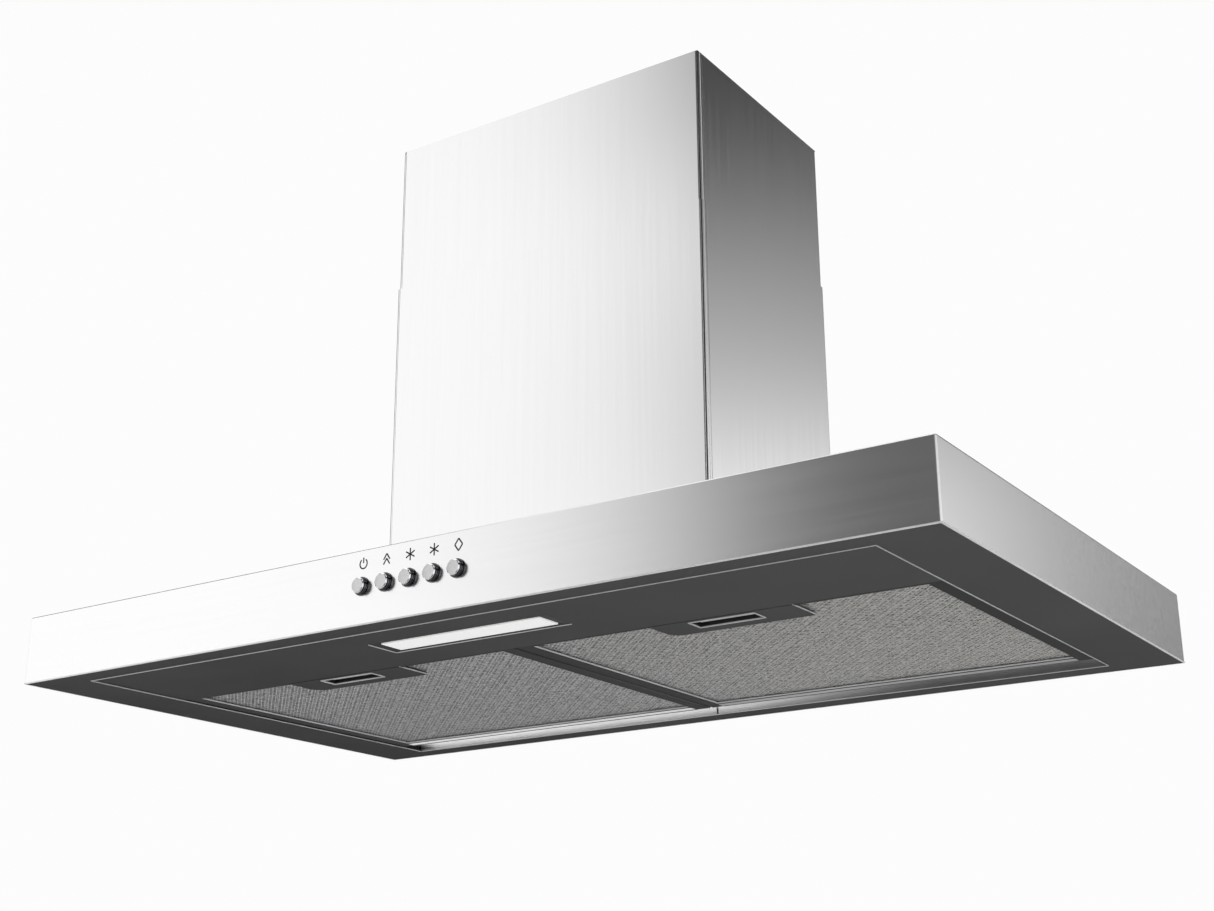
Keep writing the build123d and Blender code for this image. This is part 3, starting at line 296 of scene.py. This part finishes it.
# painted light along the strips behind the filters, bright at the left and darker towards the right: (place
# across the hood in metres, tone)
RAIL_PAINTED_LIGHT = (
    (-0.40, 0.95),
    (-0.28, 1.0),
    (-0.05, 0.95),
    (0.03, 0.85),
    (0.12, 0.60),
    (0.22, 0.38),
    (0.38, 0.45),
)
LIP_PAINTED_LIGHT = ((-0.40, 1.0), (-0.01, 0.9), (0.01, 0.30), (0.12, 0.42), (0.20, 0.3), (0.40, 0.28))
RAIL = painted_light_strip("painted_light_rail", RAIL_PAINTED_LIGHT)
LIP = painted_light_strip("painted_light_lip", LIP_PAINTED_LIGHT)
FRAME_METAL = filter_metal()
MESH = mesh_metal()
ZINC = galvanised()
SCREW = metal("zinc_screw", (0.55, 0.55, 0.56), (0.7, 0.7, 0.7), (0.25, 0.4))
# one steel cap in three tones: the near-white bevel band is a painted highlight and the near-black side is
# painted shade
CAP = metal("button_face", (0.52, 0.52, 0.53), (0.62, 0.62, 0.62), (0.30, 0.40), 500.0)
CAP_RIM_HIGHLIGHT = metal("button_bevel_highlight", (0.88, 0.88, 0.89), (0.95, 0.95, 0.95), (0.15, 0.25), 500.0)
CAP_SIDE_SHADE = metal("button_side_shade", (0.045, 0.045, 0.055), (0.07, 0.07, 0.085), (0.10, 0.18), 300.0)
CHROME = metal("dark_bezel", (0.09, 0.09, 0.10), (0.13, 0.13, 0.14), (0.10, 0.18))
INK = plastic("printed_symbol", (0.018, 0.018, 0.02), (0.03, 0.03, 0.032), (0.45, 0.6))
LATCH = plastic("grey_latch", (0.62, 0.62, 0.623), (0.70, 0.70, 0.702), (0.35, 0.5))
BLACK = plastic("black_plastic", (0.02, 0.02, 0.022), (0.035, 0.035, 0.037), (0.4, 0.55))
FAN = plastic("fan_plastic", (0.05, 0.05, 0.055), (0.075, 0.075, 0.08), (0.4, 0.55))
BOARD = plastic("circuit_board", (0.02, 0.10, 0.045), (0.03, 0.14, 0.06), (0.3, 0.45))
LENS = diffuser()
BRONZE = metal("sintered_bronze", (0.55, 0.36, 0.18), (0.66, 0.45, 0.24), (0.35, 0.5))
MOTOR = metal("laminated_steel", (0.16, 0.165, 0.175), (0.24, 0.245, 0.255), (0.4, 0.55))

BY_SLOT = {
    "stainless": CHIMNEY_STEEL,
    "underside": CHARCOAL,
    "rail": RAIL,
    "filter_metal": FRAME_METAL,
    "filter_mesh": MESH,
    "handle": CHARCOAL,
    "latch": LATCH,
    "galvanised": ZINC,
    "fastener": SCREW,
    "button_cap": CAP,
    "bezel": CHROME,
    "black_plastic": BLACK,
    "fan_plastic": FAN,
    "lens": LENS,
    "board": BOARD,
    "motor": MOTOR,
    "bearing": BRONZE,
    "shaft": SCREW,
}
slot_of_node = {row["node"]: row["material_slot"] for row in frame["record"]["subparts"]}
for name, piece in nodes.items():
    material = BY_SLOT[slot_of_node[name]]
    piece.data.materials.clear()
    piece.data.materials.append(material)
# the canopy's grain runs across it, the chimney's up and down
nodes["canopy_shell"].data.materials.clear()
nodes["canopy_shell"].data.materials.append(CANOPY_STEEL)


# ------------------------------------------------------------------ helpers for the detail pieces
def new_piece(name, points, faces, materials, body, face_materials=None, smooth=False):
    """Make a mesh piece, give it its materials and let it ride on a body."""
    data = bpy.data.meshes.new(name)
    data.from_pydata(points, [], faces)
    for material in materials:
        data.materials.append(material)
    if face_materials is not None:
        data.polygons.foreach_set("material_index", face_materials)
    data.polygons.foreach_set("use_smooth", [smooth] * len(data.polygons))
    data.update()
    made = bpy.data.objects.new(name, data)
    bpy.context.scene.collection.objects.link(made)
    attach(made, body)
    return made


def lathe(name, centre, profile, materials, body, steps=48):
    """Turned piece about the Y axis. A profile row is (radius, y, material number of the band after it)."""
    points, faces, face_materials = [], [], []
    for radius, y, _ in profile:
        for step in range(steps):
            angle = 2 * math.pi * step / steps
            x = centre.x + radius * MM * math.cos(angle)
            z = centre.z + radius * MM * math.sin(angle)
            points.append((x, centre.y + y * MM, z))
    for row in range(len(profile) - 1):
        for step in range(steps):
            after = (step + 1) % steps
            low_row, high_row = row * steps, (row + 1) * steps
            faces.append((low_row + step, low_row + after, high_row + after, high_row + step))
            face_materials.append(profile[row][2])
    for row, material in ((0, profile[0][2]), (len(profile) - 1, profile[-1][2])):
        ring = [row * steps + step for step in range(steps)]
        faces.append(ring if row else ring[::-1])
        face_materials.append(material)
    return new_piece(name, points, faces, materials, body, face_materials)


def rod_along(points, faces, start, end, radius, sides=8):
    """Add a straight round bar between two points to the lists of a mesh."""
    axis = (end - start).normalized()
    across = axis.orthogonal().normalized()
    other = axis.cross(across)
    first = len(points)
    for centre in (start, end):
        for side in range(sides):
            angle = 2 * math.pi * side / sides
            points.append(centre + (across * math.cos(angle) + other * math.sin(angle)) * radius)
    for side in range(sides):
        after = (side + 1) % sides
        faces.append((first + side, first + after, first + sides + after, first + sides + side))
    faces.append([first + side for side in range(sides)][::-1])
    faces.append([first + sides + side for side in range(sides)])


def bead(name, low_corner, high_corner, level, radius, material, body, sides="FRBL"):
    """Thin round bead along the chosen sides of a rectangle: front, right, back or left."""
    left, right = low_corner.x + radius, high_corner.x - radius
    front, rear = low_corner.y + radius, high_corner.y - radius
    runs = {
        "F": ((left, front), (right, front)),
        "R": ((right, front), (right, rear)),
        "B": ((right, rear), (left, rear)),
        "L": ((left, rear), (left, front)),
    }
    points, faces = [], []
    for side in sides:
        start, end = (Vector((*place, level)) for place in runs[side])
        rod_along(points, faces, start, end, radius)
    return new_piece(name, points, faces, [material], body, smooth=True)


def slab(name, low_corner, high_corner, material, body):
    """Thin flat strip between two corners."""
    (x0, y0, z0), (x1, y1, z1) = low_corner, high_corner
    points = [(x0, y0, z0), (x1, y0, z0), (x1, y1, z0), (x0, y1, z0)]
    points += [(x, y, z1) for x, y, _ in points]
    faces = [(3, 2, 1, 0), (4, 5, 6, 7), (0, 1, 5, 4), (1, 2, 6, 5), (2, 3, 7, 6), (3, 0, 4, 7)]
    return new_piece(name, points, faces, [material], body)


# ------------------------------------------------------------------ push buttons
BUTTONS = ("button_power", "button_boost", "button_fan_low", "button_fan_high", "button_light")
for name in BUTTONS:
    low_corner, high_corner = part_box(name)
    middle = (low_corner + high_corner) / 2
    radius = (high_corner.x - low_corner.x) / 2 / MM
    middle.y = low_corner.y
    profile = [
        (radius * 0.40, 0.16, 0),
        (radius * 0.62, 0.10, 0),
        (radius * 0.80, 0.0, 0),
        (radius * 0.86, 0.0, 1),
        (radius * 0.95, 0.45, 1),
        (radius * 0.99, 0.80, 2),
        (radius * 0.99, 2.2, 2),
        (radius * 0.93, 2.5, 2),
        (radius * 0.93, 2.9, 3),
        (radius, 3.4, 2),
        (radius, 4.5, 2),
        (radius * 0.95, 4.7, 3),
        (radius, 5.1, 2),
        (radius, 11.0, 2),
        (radius * 0.46, 11.0, 2),
        (radius * 0.46, 15.6, 2),
    ]
    # face, bevel with painted highlight, side with painted shade, and dark grooves
    finishes = [CAP, CAP_RIM_HIGHLIGHT, CAP_SIDE_SHADE, CHROME]
    cap = lathe(f"cap_{name}", middle, profile, finishes, name)
    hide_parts(name)

# ------------------------------------------------------------------ printed symbols above the buttons
SYMBOL_RISE = 19.0 * MM  # from a button's middle to its symbol's middle
SYMBOL_SHIFT = 0.9 * MM  # the print is set a little to the right of the buttons
INK_WIDTH, INK_DEPTH = 1.15, 0.12  # of one printed line, in millimetres


def stroke(points, faces, middle, start, end):
    """Add one thin printed line, given in millimetres from the symbol's middle."""
    direction = Vector((end[0] - start[0], 0, end[1] - start[1])).normalized()
    across = Vector((-direction.z, 0, direction.x)) * INK_WIDTH / 2
    first = len(points)
    for depth in (0.0, -INK_DEPTH):
        for place, side in ((start, 1), (start, -1), (end, -1), (end, 1)):
            offset = Vector((place[0], depth, place[1])) + across * side
            points.append(middle + offset * MM)
    faces.append((first + 4, first + 5, first + 6, first + 7))
    for corner in range(4):
        after = (corner + 1) % 4
        faces.append((first + corner, first + after, first + 4 + after, first + 4 + corner))


def chain(places):
    return list(zip(places[:-1], places[1:]))


def power_lines():
    arc = []
    for step in range(13):
        angle = math.radians(125 + step * 290 / 12)
        arc.append((3.8 * math.cos(angle), 4.1 * math.sin(angle) - 0.3))
    return chain(arc) + [((0, 0.2), (0, 4.8))]


def boost_lines():
    upper = [(-3.2, -0.4), (0, 4.4), (3.2, -0.4)]
    lower = [(-3.2, -4.4), (0, 0.4), (3.2, -4.4)]
    return chain(upper) + chain(lower)


def fan_lines():
    lines = []
    for arm in range(6):
        angle = math.radians(30 + 60 * arm)
        tip = (5.0 * math.cos(angle), 5.0 * math.sin(angle))
        lines.append(((0, 0), tip))
    return lines


def lamp_lines():
    return chain([(0, 5.0), (3.8, 0), (0, -5.0), (-3.8, 0), (0, 5.0)])


SYMBOLS = dict(zip(BUTTONS, (power_lines, boost_lines, fan_lines, fan_lines, lamp_lines)))
for name, lines in SYMBOLS.items():
    low_corner, high_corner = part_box(name)
    middle = (low_corner + high_corner) / 2
    middle.y = FRONT_Y
    middle.z += SYMBOL_RISE
    middle.x += SYMBOL_SHIFT
    points, faces = [], []
    for start, end in lines():
        stroke(points, faces, middle, start, end)
    new_piece(name.replace("button", "symbol"), points, faces, [INK], "hood")

# ------------------------------------------------------------------ expanded-metal packs in the filters
CELL = 4.6 * MM  # length of a diamond in the lower layer
COARSE = 1.6  # cell of the upper layer, compared with the lower one
HOLE_SHARE = 0.71  # open part of a cell's length
SHARE_SPREAD = 0.10
LAYER_RISE = 1.7 * MM
STRAND_WAVE = 0.30 * MM  # how far the joints stray from flat
EDGE_LIFT = 0.22 * MM


def scatter(column, row, layer):
    """Uneven number between -1 and 1, always the same at the same place in the mesh."""
    value = math.sin(column * 12.9898 + row * 78.233 + layer * 37.719) * 43758.5453
    return (value - math.floor(value) - 0.5) * 2


def expanded_layer(points, faces, low_corner, high_corner, level, cell, layer, keep_out):
    """Add one layer of diamond cells that share their joints."""
    columns = int((high_corner.x - low_corner.x) / (cell / 2)) - 1
    rows = int((high_corner.y - low_corner.y) / (cell / 2)) - 1
    start_x = low_corner.x + ((high_corner.x - low_corner.x) - columns * cell / 2) / 2
    start_y = low_corner.y + ((high_corner.y - low_corner.y) - rows * cell / 2) / 2
    for column in range(1, columns):
        for row in range(1 + column % 2, rows, 2):
            x = start_x + column * cell / 2
            y = start_y + row * cell / 2
            if keep_out[0] < x < keep_out[1] and y < keep_out[2]:
                continue
            first = len(points)
            steps = ((1, 0), (0, 1), (-1, 0), (0, -1))
            hole = HOLE_SHARE + SHARE_SPREAD * scatter(column, row, layer + 5)
            for share, lift in ((1.0, 0.0), (hole, EDGE_LIFT)):
                for dx, dy in steps:
                    height = STRAND_WAVE * scatter(column + dx, row + dy, layer)
                    place_x = x + dx * share * cell / 2
                    place_y = y + dy * share * cell / 2
                    points.append((place_x, place_y, level + height + lift))
            for corner in range(4):
                after = (corner + 1) % 4
                faces.append((first + corner, first + 4 + corner, first + 4 + after, first + after))


# painted shade: a near-black sheet behind the expanded metal, for the dark depth seen through the filters
MESH_DEPTH_SHADE = plastic("painted_mesh_depth_shade", (0.02, 0.02, 0.022), (0.035, 0.035, 0.037), (0.5, 0.65))


def filter_pack(side):
    """Two layers of expanded metal, the upper one coarser, in front of a near-black sheet: painted shade for
    the dark depth seen through the mesh.
    """
    low_corner, high_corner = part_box(f"filter_mesh_{side}")
    cup_low, cup_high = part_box(f"filter_latch_{side}")
    keep_out = (cup_low.x - 10 * MM, cup_high.x + 10 * MM, low_corner.y + 30 * MM)
    points, faces = [], []
    level = low_corner.z + 0.2 * MM
    expanded_layer(points, faces, low_corner, high_corner, level, CELL, 0, keep_out)
    level += LAYER_RISE
    expanded_layer(points, faces, low_corner, high_corner, level, COARSE * CELL, 1, keep_out)
    strand_faces = len(faces)
    x = [low_corner.x, keep_out[0], keep_out[1], high_corner.x]
    y = [low_corner.y, keep_out[2], high_corner.y]
    for left, right, front, rear in (
        (x[0], x[1], y[0], y[2]),
        (x[1], x[2], y[1], y[2]),
        (x[2], x[3], y[0], y[2]),
    ):
        first = len(points)
        for z in (high_corner.z - 0.3 * MM, high_corner.z):
            points += [(left, front, z), (right, front, z), (right, rear, z), (left, rear, z)]
        faces.append((first + 3, first + 2, first + 1, first))
        faces.append((first + 4, first + 5, first + 6, first + 7))
        for corner in range(4):
            after = (corner + 1) % 4
            faces.append((first + corner, first + after, first + 4 + after, first + 4 + corner))
    face_materials = [0] * strand_faces + [1] * (len(faces) - strand_faces)
    body = f"filter_{side}"
    pack = new_piece(
        f"expanded_pack_{side}", points, faces, [MESH, MESH_DEPTH_SHADE], body, face_materials
    )
    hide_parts(f"filter_mesh_{side}")


filter_pack("left")
filter_pack("right")

# ------------------------------------------------------------------ painted highlight: a near-white rod round the canopy's bottom edge
HEM_R = 0.7 * MM
HEM_OUT = Vector((0.5 * MM, 0.5 * MM, 0))
hem_low, hem_high = canopy_low - HEM_OUT, canopy_high + HEM_OUT
bead("canopy_hem_highlight", hem_low, hem_high, BASE_Z + 0.5 * MM, HEM_R, HEM_HIGHLIGHT, "hood")

# ------------------------------------------------------------------ painted shade and highlight: grey, near-black and near-white rods along the edges of the two chimney covers
for name, body in (("lower_chimney_cover", "lower_chimney"), ("upper_chimney_cover", "ceiling_mount")):
    low_corner, high_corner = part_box(name)
    low_z, high_z = low_corner.z + 0.5 * MM, high_corner.z - 0.5 * MM
    for part, x, y, radius, material in (
        ("left_edge_shade", low_corner.x + 0.1 * MM, low_corner.y + 0.1 * MM, 0.25, EDGE_GREY),
        ("right_corner_shade", high_corner.x - 0.2 * MM, low_corner.y + 0.3 * MM, 0.6, CORNER_SHADE),
        ("right_fold_highlight", high_corner.x - 0.4 * MM, low_corner.y + 4.2 * MM, 0.65, HEM_HIGHLIGHT),
        ("right_side_shade", high_corner.x - 0.5 * MM, low_corner.y + 7.6 * MM, 0.65, EDGE_GREY),
    ):
        points, faces = [], []
        rod_along(points, faces, Vector((x, y, low_z)), Vector((x, y, high_z)), radius * MM)
        new_piece(f"{part}_{name}", points, faces, [material], body, smooth=True)
upper_low, upper_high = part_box("upper_chimney_cover")
top_z = upper_high.z - 0.3 * MM
bead("chimney_top_edge_shade", upper_low, upper_high, top_z, 0.35 * MM, EDGE_GREY, "ceiling_mount")

# ------------------------------------------------------------------ painted highlights: light grey beads along the folded edges round the openings below
BEAD_R = 0.50 * MM
underside_low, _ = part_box("underside_frame")
panel_low, panel_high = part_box("lamp_panel")
_, rail_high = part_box("filter_rear_rail")
lens_low, lens_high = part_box("lamp_diffuser")
port_low = Vector((panel_low.x - 1.0 * MM, panel_low.y - 0.9 * MM, 0))
port_high = Vector((panel_high.x + 1.0 * MM, rail_high.y, 0))
bead("port_bead", port_low, port_high, underside_low.z + 0.1 * MM, BEAD_R, BEAD_HIGHLIGHT, "hood")
LAMP_EDGE = Vector((10.0 * MM, 5.5 * MM, 0))
lamp_low, lamp_high = lens_low - LAMP_EDGE, lens_high + LAMP_EDGE
bead("lamp_bead", lamp_low, lamp_high, panel_low.z, 0.6 * MM, BEAD_HIGHLIGHT, "hood", "BL")
GRIP_EDGE_X = 4.0 * MM
left_low, left_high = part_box("filter_frame_left")
# painted shade: a black rod along the gap between the two filters, where only shade falls
points, faces = [], []
gap_shade_start = Vector((0, left_low.y + 2 * MM, left_low.z + 0.2 * MM))
gap_shade_end = Vector((0, left_high.y - 2 * MM, left_low.z + 0.2 * MM))
rod_along(points, faces, gap_shade_start, gap_shade_end, 0.9 * MM)
new_piece("centre_gap_shade", points, faces, [BLACK], "hood", smooth=True)

LIP_SIDE, LIP_FRONT, LIP_BACK = 14.5 * MM, 5.0 * MM, 14.0 * MM  # widths of a filter's lips
for side in ("left", "right"):
    body = f"filter_{side}"
    latch_low, latch_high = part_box(f"filter_latch_{side}")
    handle_low, handle_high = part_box(f"filter_handle_{side}")
    grip_low = Vector((latch_low.x - GRIP_EDGE_X, handle_low.y + 3.7 * MM, 0))
    grip_high = Vector((latch_high.x + GRIP_EDGE_X, handle_low.y + 24.3 * MM, 0))
    bead(f"grip_bead_{side}", grip_low, grip_high, handle_low.z, 0.7 * MM, BEAD_HIGHLIGHT, body)
    tab_high = handle_high + Vector((0.7 * MM, 0, 0))
    tab_z = handle_low.z + 0.9 * MM
    bead(f"tab_bead_{side}", handle_low, tab_high, tab_z, 0.6 * MM, BEAD_HIGHLIGHT, body, "R")
    frame_low, frame_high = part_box(f"filter_frame_{side}")
    open_low = Vector((frame_low.x + LIP_SIDE, frame_low.y + LIP_FRONT, 0))
    open_high = Vector((frame_high.x - LIP_SIDE, frame_high.y - LIP_BACK, 0))
    lip_z = frame_low.z + 1.0 * MM
    bead(f"lip_bead_{side}", open_low, open_high, lip_z, 0.8 * MM, BEAD_HIGHLIGHT, body, "LB")
    slab(
        f"lip_band_{side}",
        (open_low.x, open_high.y + 1.8 * MM, frame_low.z - 0.1 * MM),
        (open_high.x, frame_high.y - 3.5 * MM, frame_low.z),
        LIP,
        body,
    )
    # painted shade: a black strip for the dark line where shade falls between the lip and the rail
    slab(
        f"lip_gap_shade_{side}",
        (open_low.x, frame_high.y - 3.5 * MM, frame_low.z - 0.1 * MM),
        (open_high.x, frame_high.y + 0.2 * MM, frame_low.z),
        BLACK,
        body,
    )

# ------------------------------------------------------------------ camera
camera_data = bpy.data.cameras.new("camera")
camera = bpy.data.objects.new("camera", camera_data)
bpy.context.scene.collection.objects.link(camera)
bpy.context.scene.camera = camera
AZIMUTH, PITCH, ROLL = -0.588, 0.329, -0.005
camera.location = (0.8891, -1.3426, -0.8723)
forward = Vector(
    (math.sin(AZIMUTH) * math.cos(PITCH), math.cos(AZIMUTH) * math.cos(PITCH), math.sin(PITCH))
)
right = forward.cross(Vector((0, 0, 1))).normalized()
up = right.cross(forward)
right_rolled = right * math.cos(ROLL) + up * math.sin(ROLL)
up_rolled = up * math.cos(ROLL) - right * math.sin(ROLL)
turn = camera.matrix_world.to_3x3()
for row in range(3):
    turn[row][0] = right_rolled[row]
    turn[row][1] = up_rolled[row]
    turn[row][2] = -forward[row]
camera.rotation_euler = turn.to_euler()
camera_data.sensor_width = 36.0
camera_data.lens = 53.29
camera_data.clip_start = 0.01
camera_data.clip_end = 100.0

# ------------------------------------------------------------------ floor, world and lights
scene = bpy.context.scene
scene.view_settings.view_transform = "Standard"
scene.view_settings.look = "None"

FLOOR_Z = BASE_Z - 1.9
FLOOR_HALF = 5.0


def sheet(name, corners):
    """A flat four-sided stage panel."""
    data = bpy.data.meshes.new(name)
    data.from_pydata(corners, [], [(0, 1, 2, 3)])
    made = bpy.data.objects.new(name, data)
    scene.collection.objects.link(made)
    return made


floor_corners = [(x * FLOOR_HALF, y * FLOOR_HALF, FLOOR_Z) for x, y in ((-1, -1), (1, -1), (1, 1), (-1, 1))]
floor = sheet("floor", floor_corners)
floor_graph = Graph("pale_floor")
floor_graph.tint(floor_graph.noise((1, 1, 1), 2.0), (0.92, 0.92, 0.92), (0.95, 0.95, 0.95))
floor_graph.set(Roughness=0.8)
floor.data.materials.append(floor_graph.material)


PANEL_Y = -1.0
PANEL_X = (-3.2, 0.35)
PANEL_Z = (-1.2, 1.4)
PANEL_STOPS = (
    (-3.2, 1.20),
    (-0.62, 1.18),
    (-0.43, 1.07),
    (-0.264, 0.81),
    (-0.18, 0.60),
    (-0.097, 0.36),
    (-0.013, 0.20),
    (0.071, 0.115),
    (0.8, 0.085),
)
PANEL_BEND = (  # how far the gradient moves to the left at each height
    (-1.2, 0.0),
    (-0.2, 0.0),
    (0.0, 0.09),
    (0.142, 0.075),
    (0.279, 0.0),
    (0.416, 0.08),
    (0.535, 0.19),
    (1.4, 0.22),
)
panel_corners = [
    (PANEL_X[0], PANEL_Y, PANEL_Z[0]),
    (PANEL_X[1], PANEL_Y, PANEL_Z[0]),
    (PANEL_X[1], PANEL_Y, PANEL_Z[1]),
    (PANEL_X[0], PANEL_Y, PANEL_Z[1]),
]
front_panel = sheet("front_panel", panel_corners)
front_panel.visible_camera = False
panel_graph = Graph("front_panel")
tree = panel_graph.tree
tree.nodes.remove(panel_graph.shader)
emission = tree.nodes.new("ShaderNodeEmission")
coordinates = tree.nodes.new("ShaderNodeTexCoord")
split = tree.nodes.new("ShaderNodeSeparateXYZ")
tree.links.new(coordinates.outputs["Object"], split.inputs["Vector"])
bend = curve(tree, split.outputs["Z"], PANEL_BEND)
shifted = arithmetic(tree, "ADD", split.outputs["X"], bend)
tree.links.new(curve(tree, shifted, PANEL_STOPS), emission.inputs["Strength"])
tree.links.new(emission.outputs["Emission"], tree.nodes["Material Output"].inputs["Surface"])
front_panel.data.materials.append(panel_graph.material)

world = bpy.data.worlds.new("studio")
scene.world = world
world.use_nodes = True
tree = world.node_tree
tree.nodes.clear()
output = tree.nodes.new("ShaderNodeOutputWorld")
mix = tree.nodes.new("ShaderNodeMixShader")
paths = tree.nodes.new("ShaderNodeLightPath")
backdrop = tree.nodes.new("ShaderNodeBackground")
backdrop.inputs["Color"].default_value = (0.975, 0.975, 0.975, 1)
ambient = tree.nodes.new("ShaderNodeBackground")
coordinates = tree.nodes.new("ShaderNodeTexCoord")
split = tree.nodes.new("ShaderNodeSeparateXYZ")
HEIGHT_STOPS = (
    (-1.0, 0.70),
    (-0.38, 0.85),
    (-0.20, 1.35),
    (0.0, 1.0),
    (0.18, 1.0),
    (0.27, 1.40),
    (0.38, 0.48),
    (0.50, 0.02),
    (0.72, 0.03),
    (0.86, 2.3),
    (1.0, 2.3),
)
SIDE_STOPS = ((-1.0, 0.95), (-0.2, 0.7), (0.20, 0.25), (0.30, 0.0), (0.41, 1.22), (1.0, 1.15))
tree.links.new(coordinates.outputs["Generated"], split.inputs["Vector"])
by_height = curve(tree, split.outputs["Z"], HEIGHT_STOPS, "EASE")
by_side = curve(tree, split.outputs["X"], SIDE_STOPS, "EASE")
tree.links.new(arithmetic(tree, "MULTIPLY", by_height, by_side), ambient.inputs["Strength"])
tree.links.new(paths.outputs["Is Camera Ray"], mix.inputs["Fac"])
tree.links.new(ambient.outputs["Background"], mix.inputs[1])
tree.links.new(backdrop.outputs["Background"], mix.inputs[2])
tree.links.new(mix.outputs["Shader"], output.inputs["Surface"])
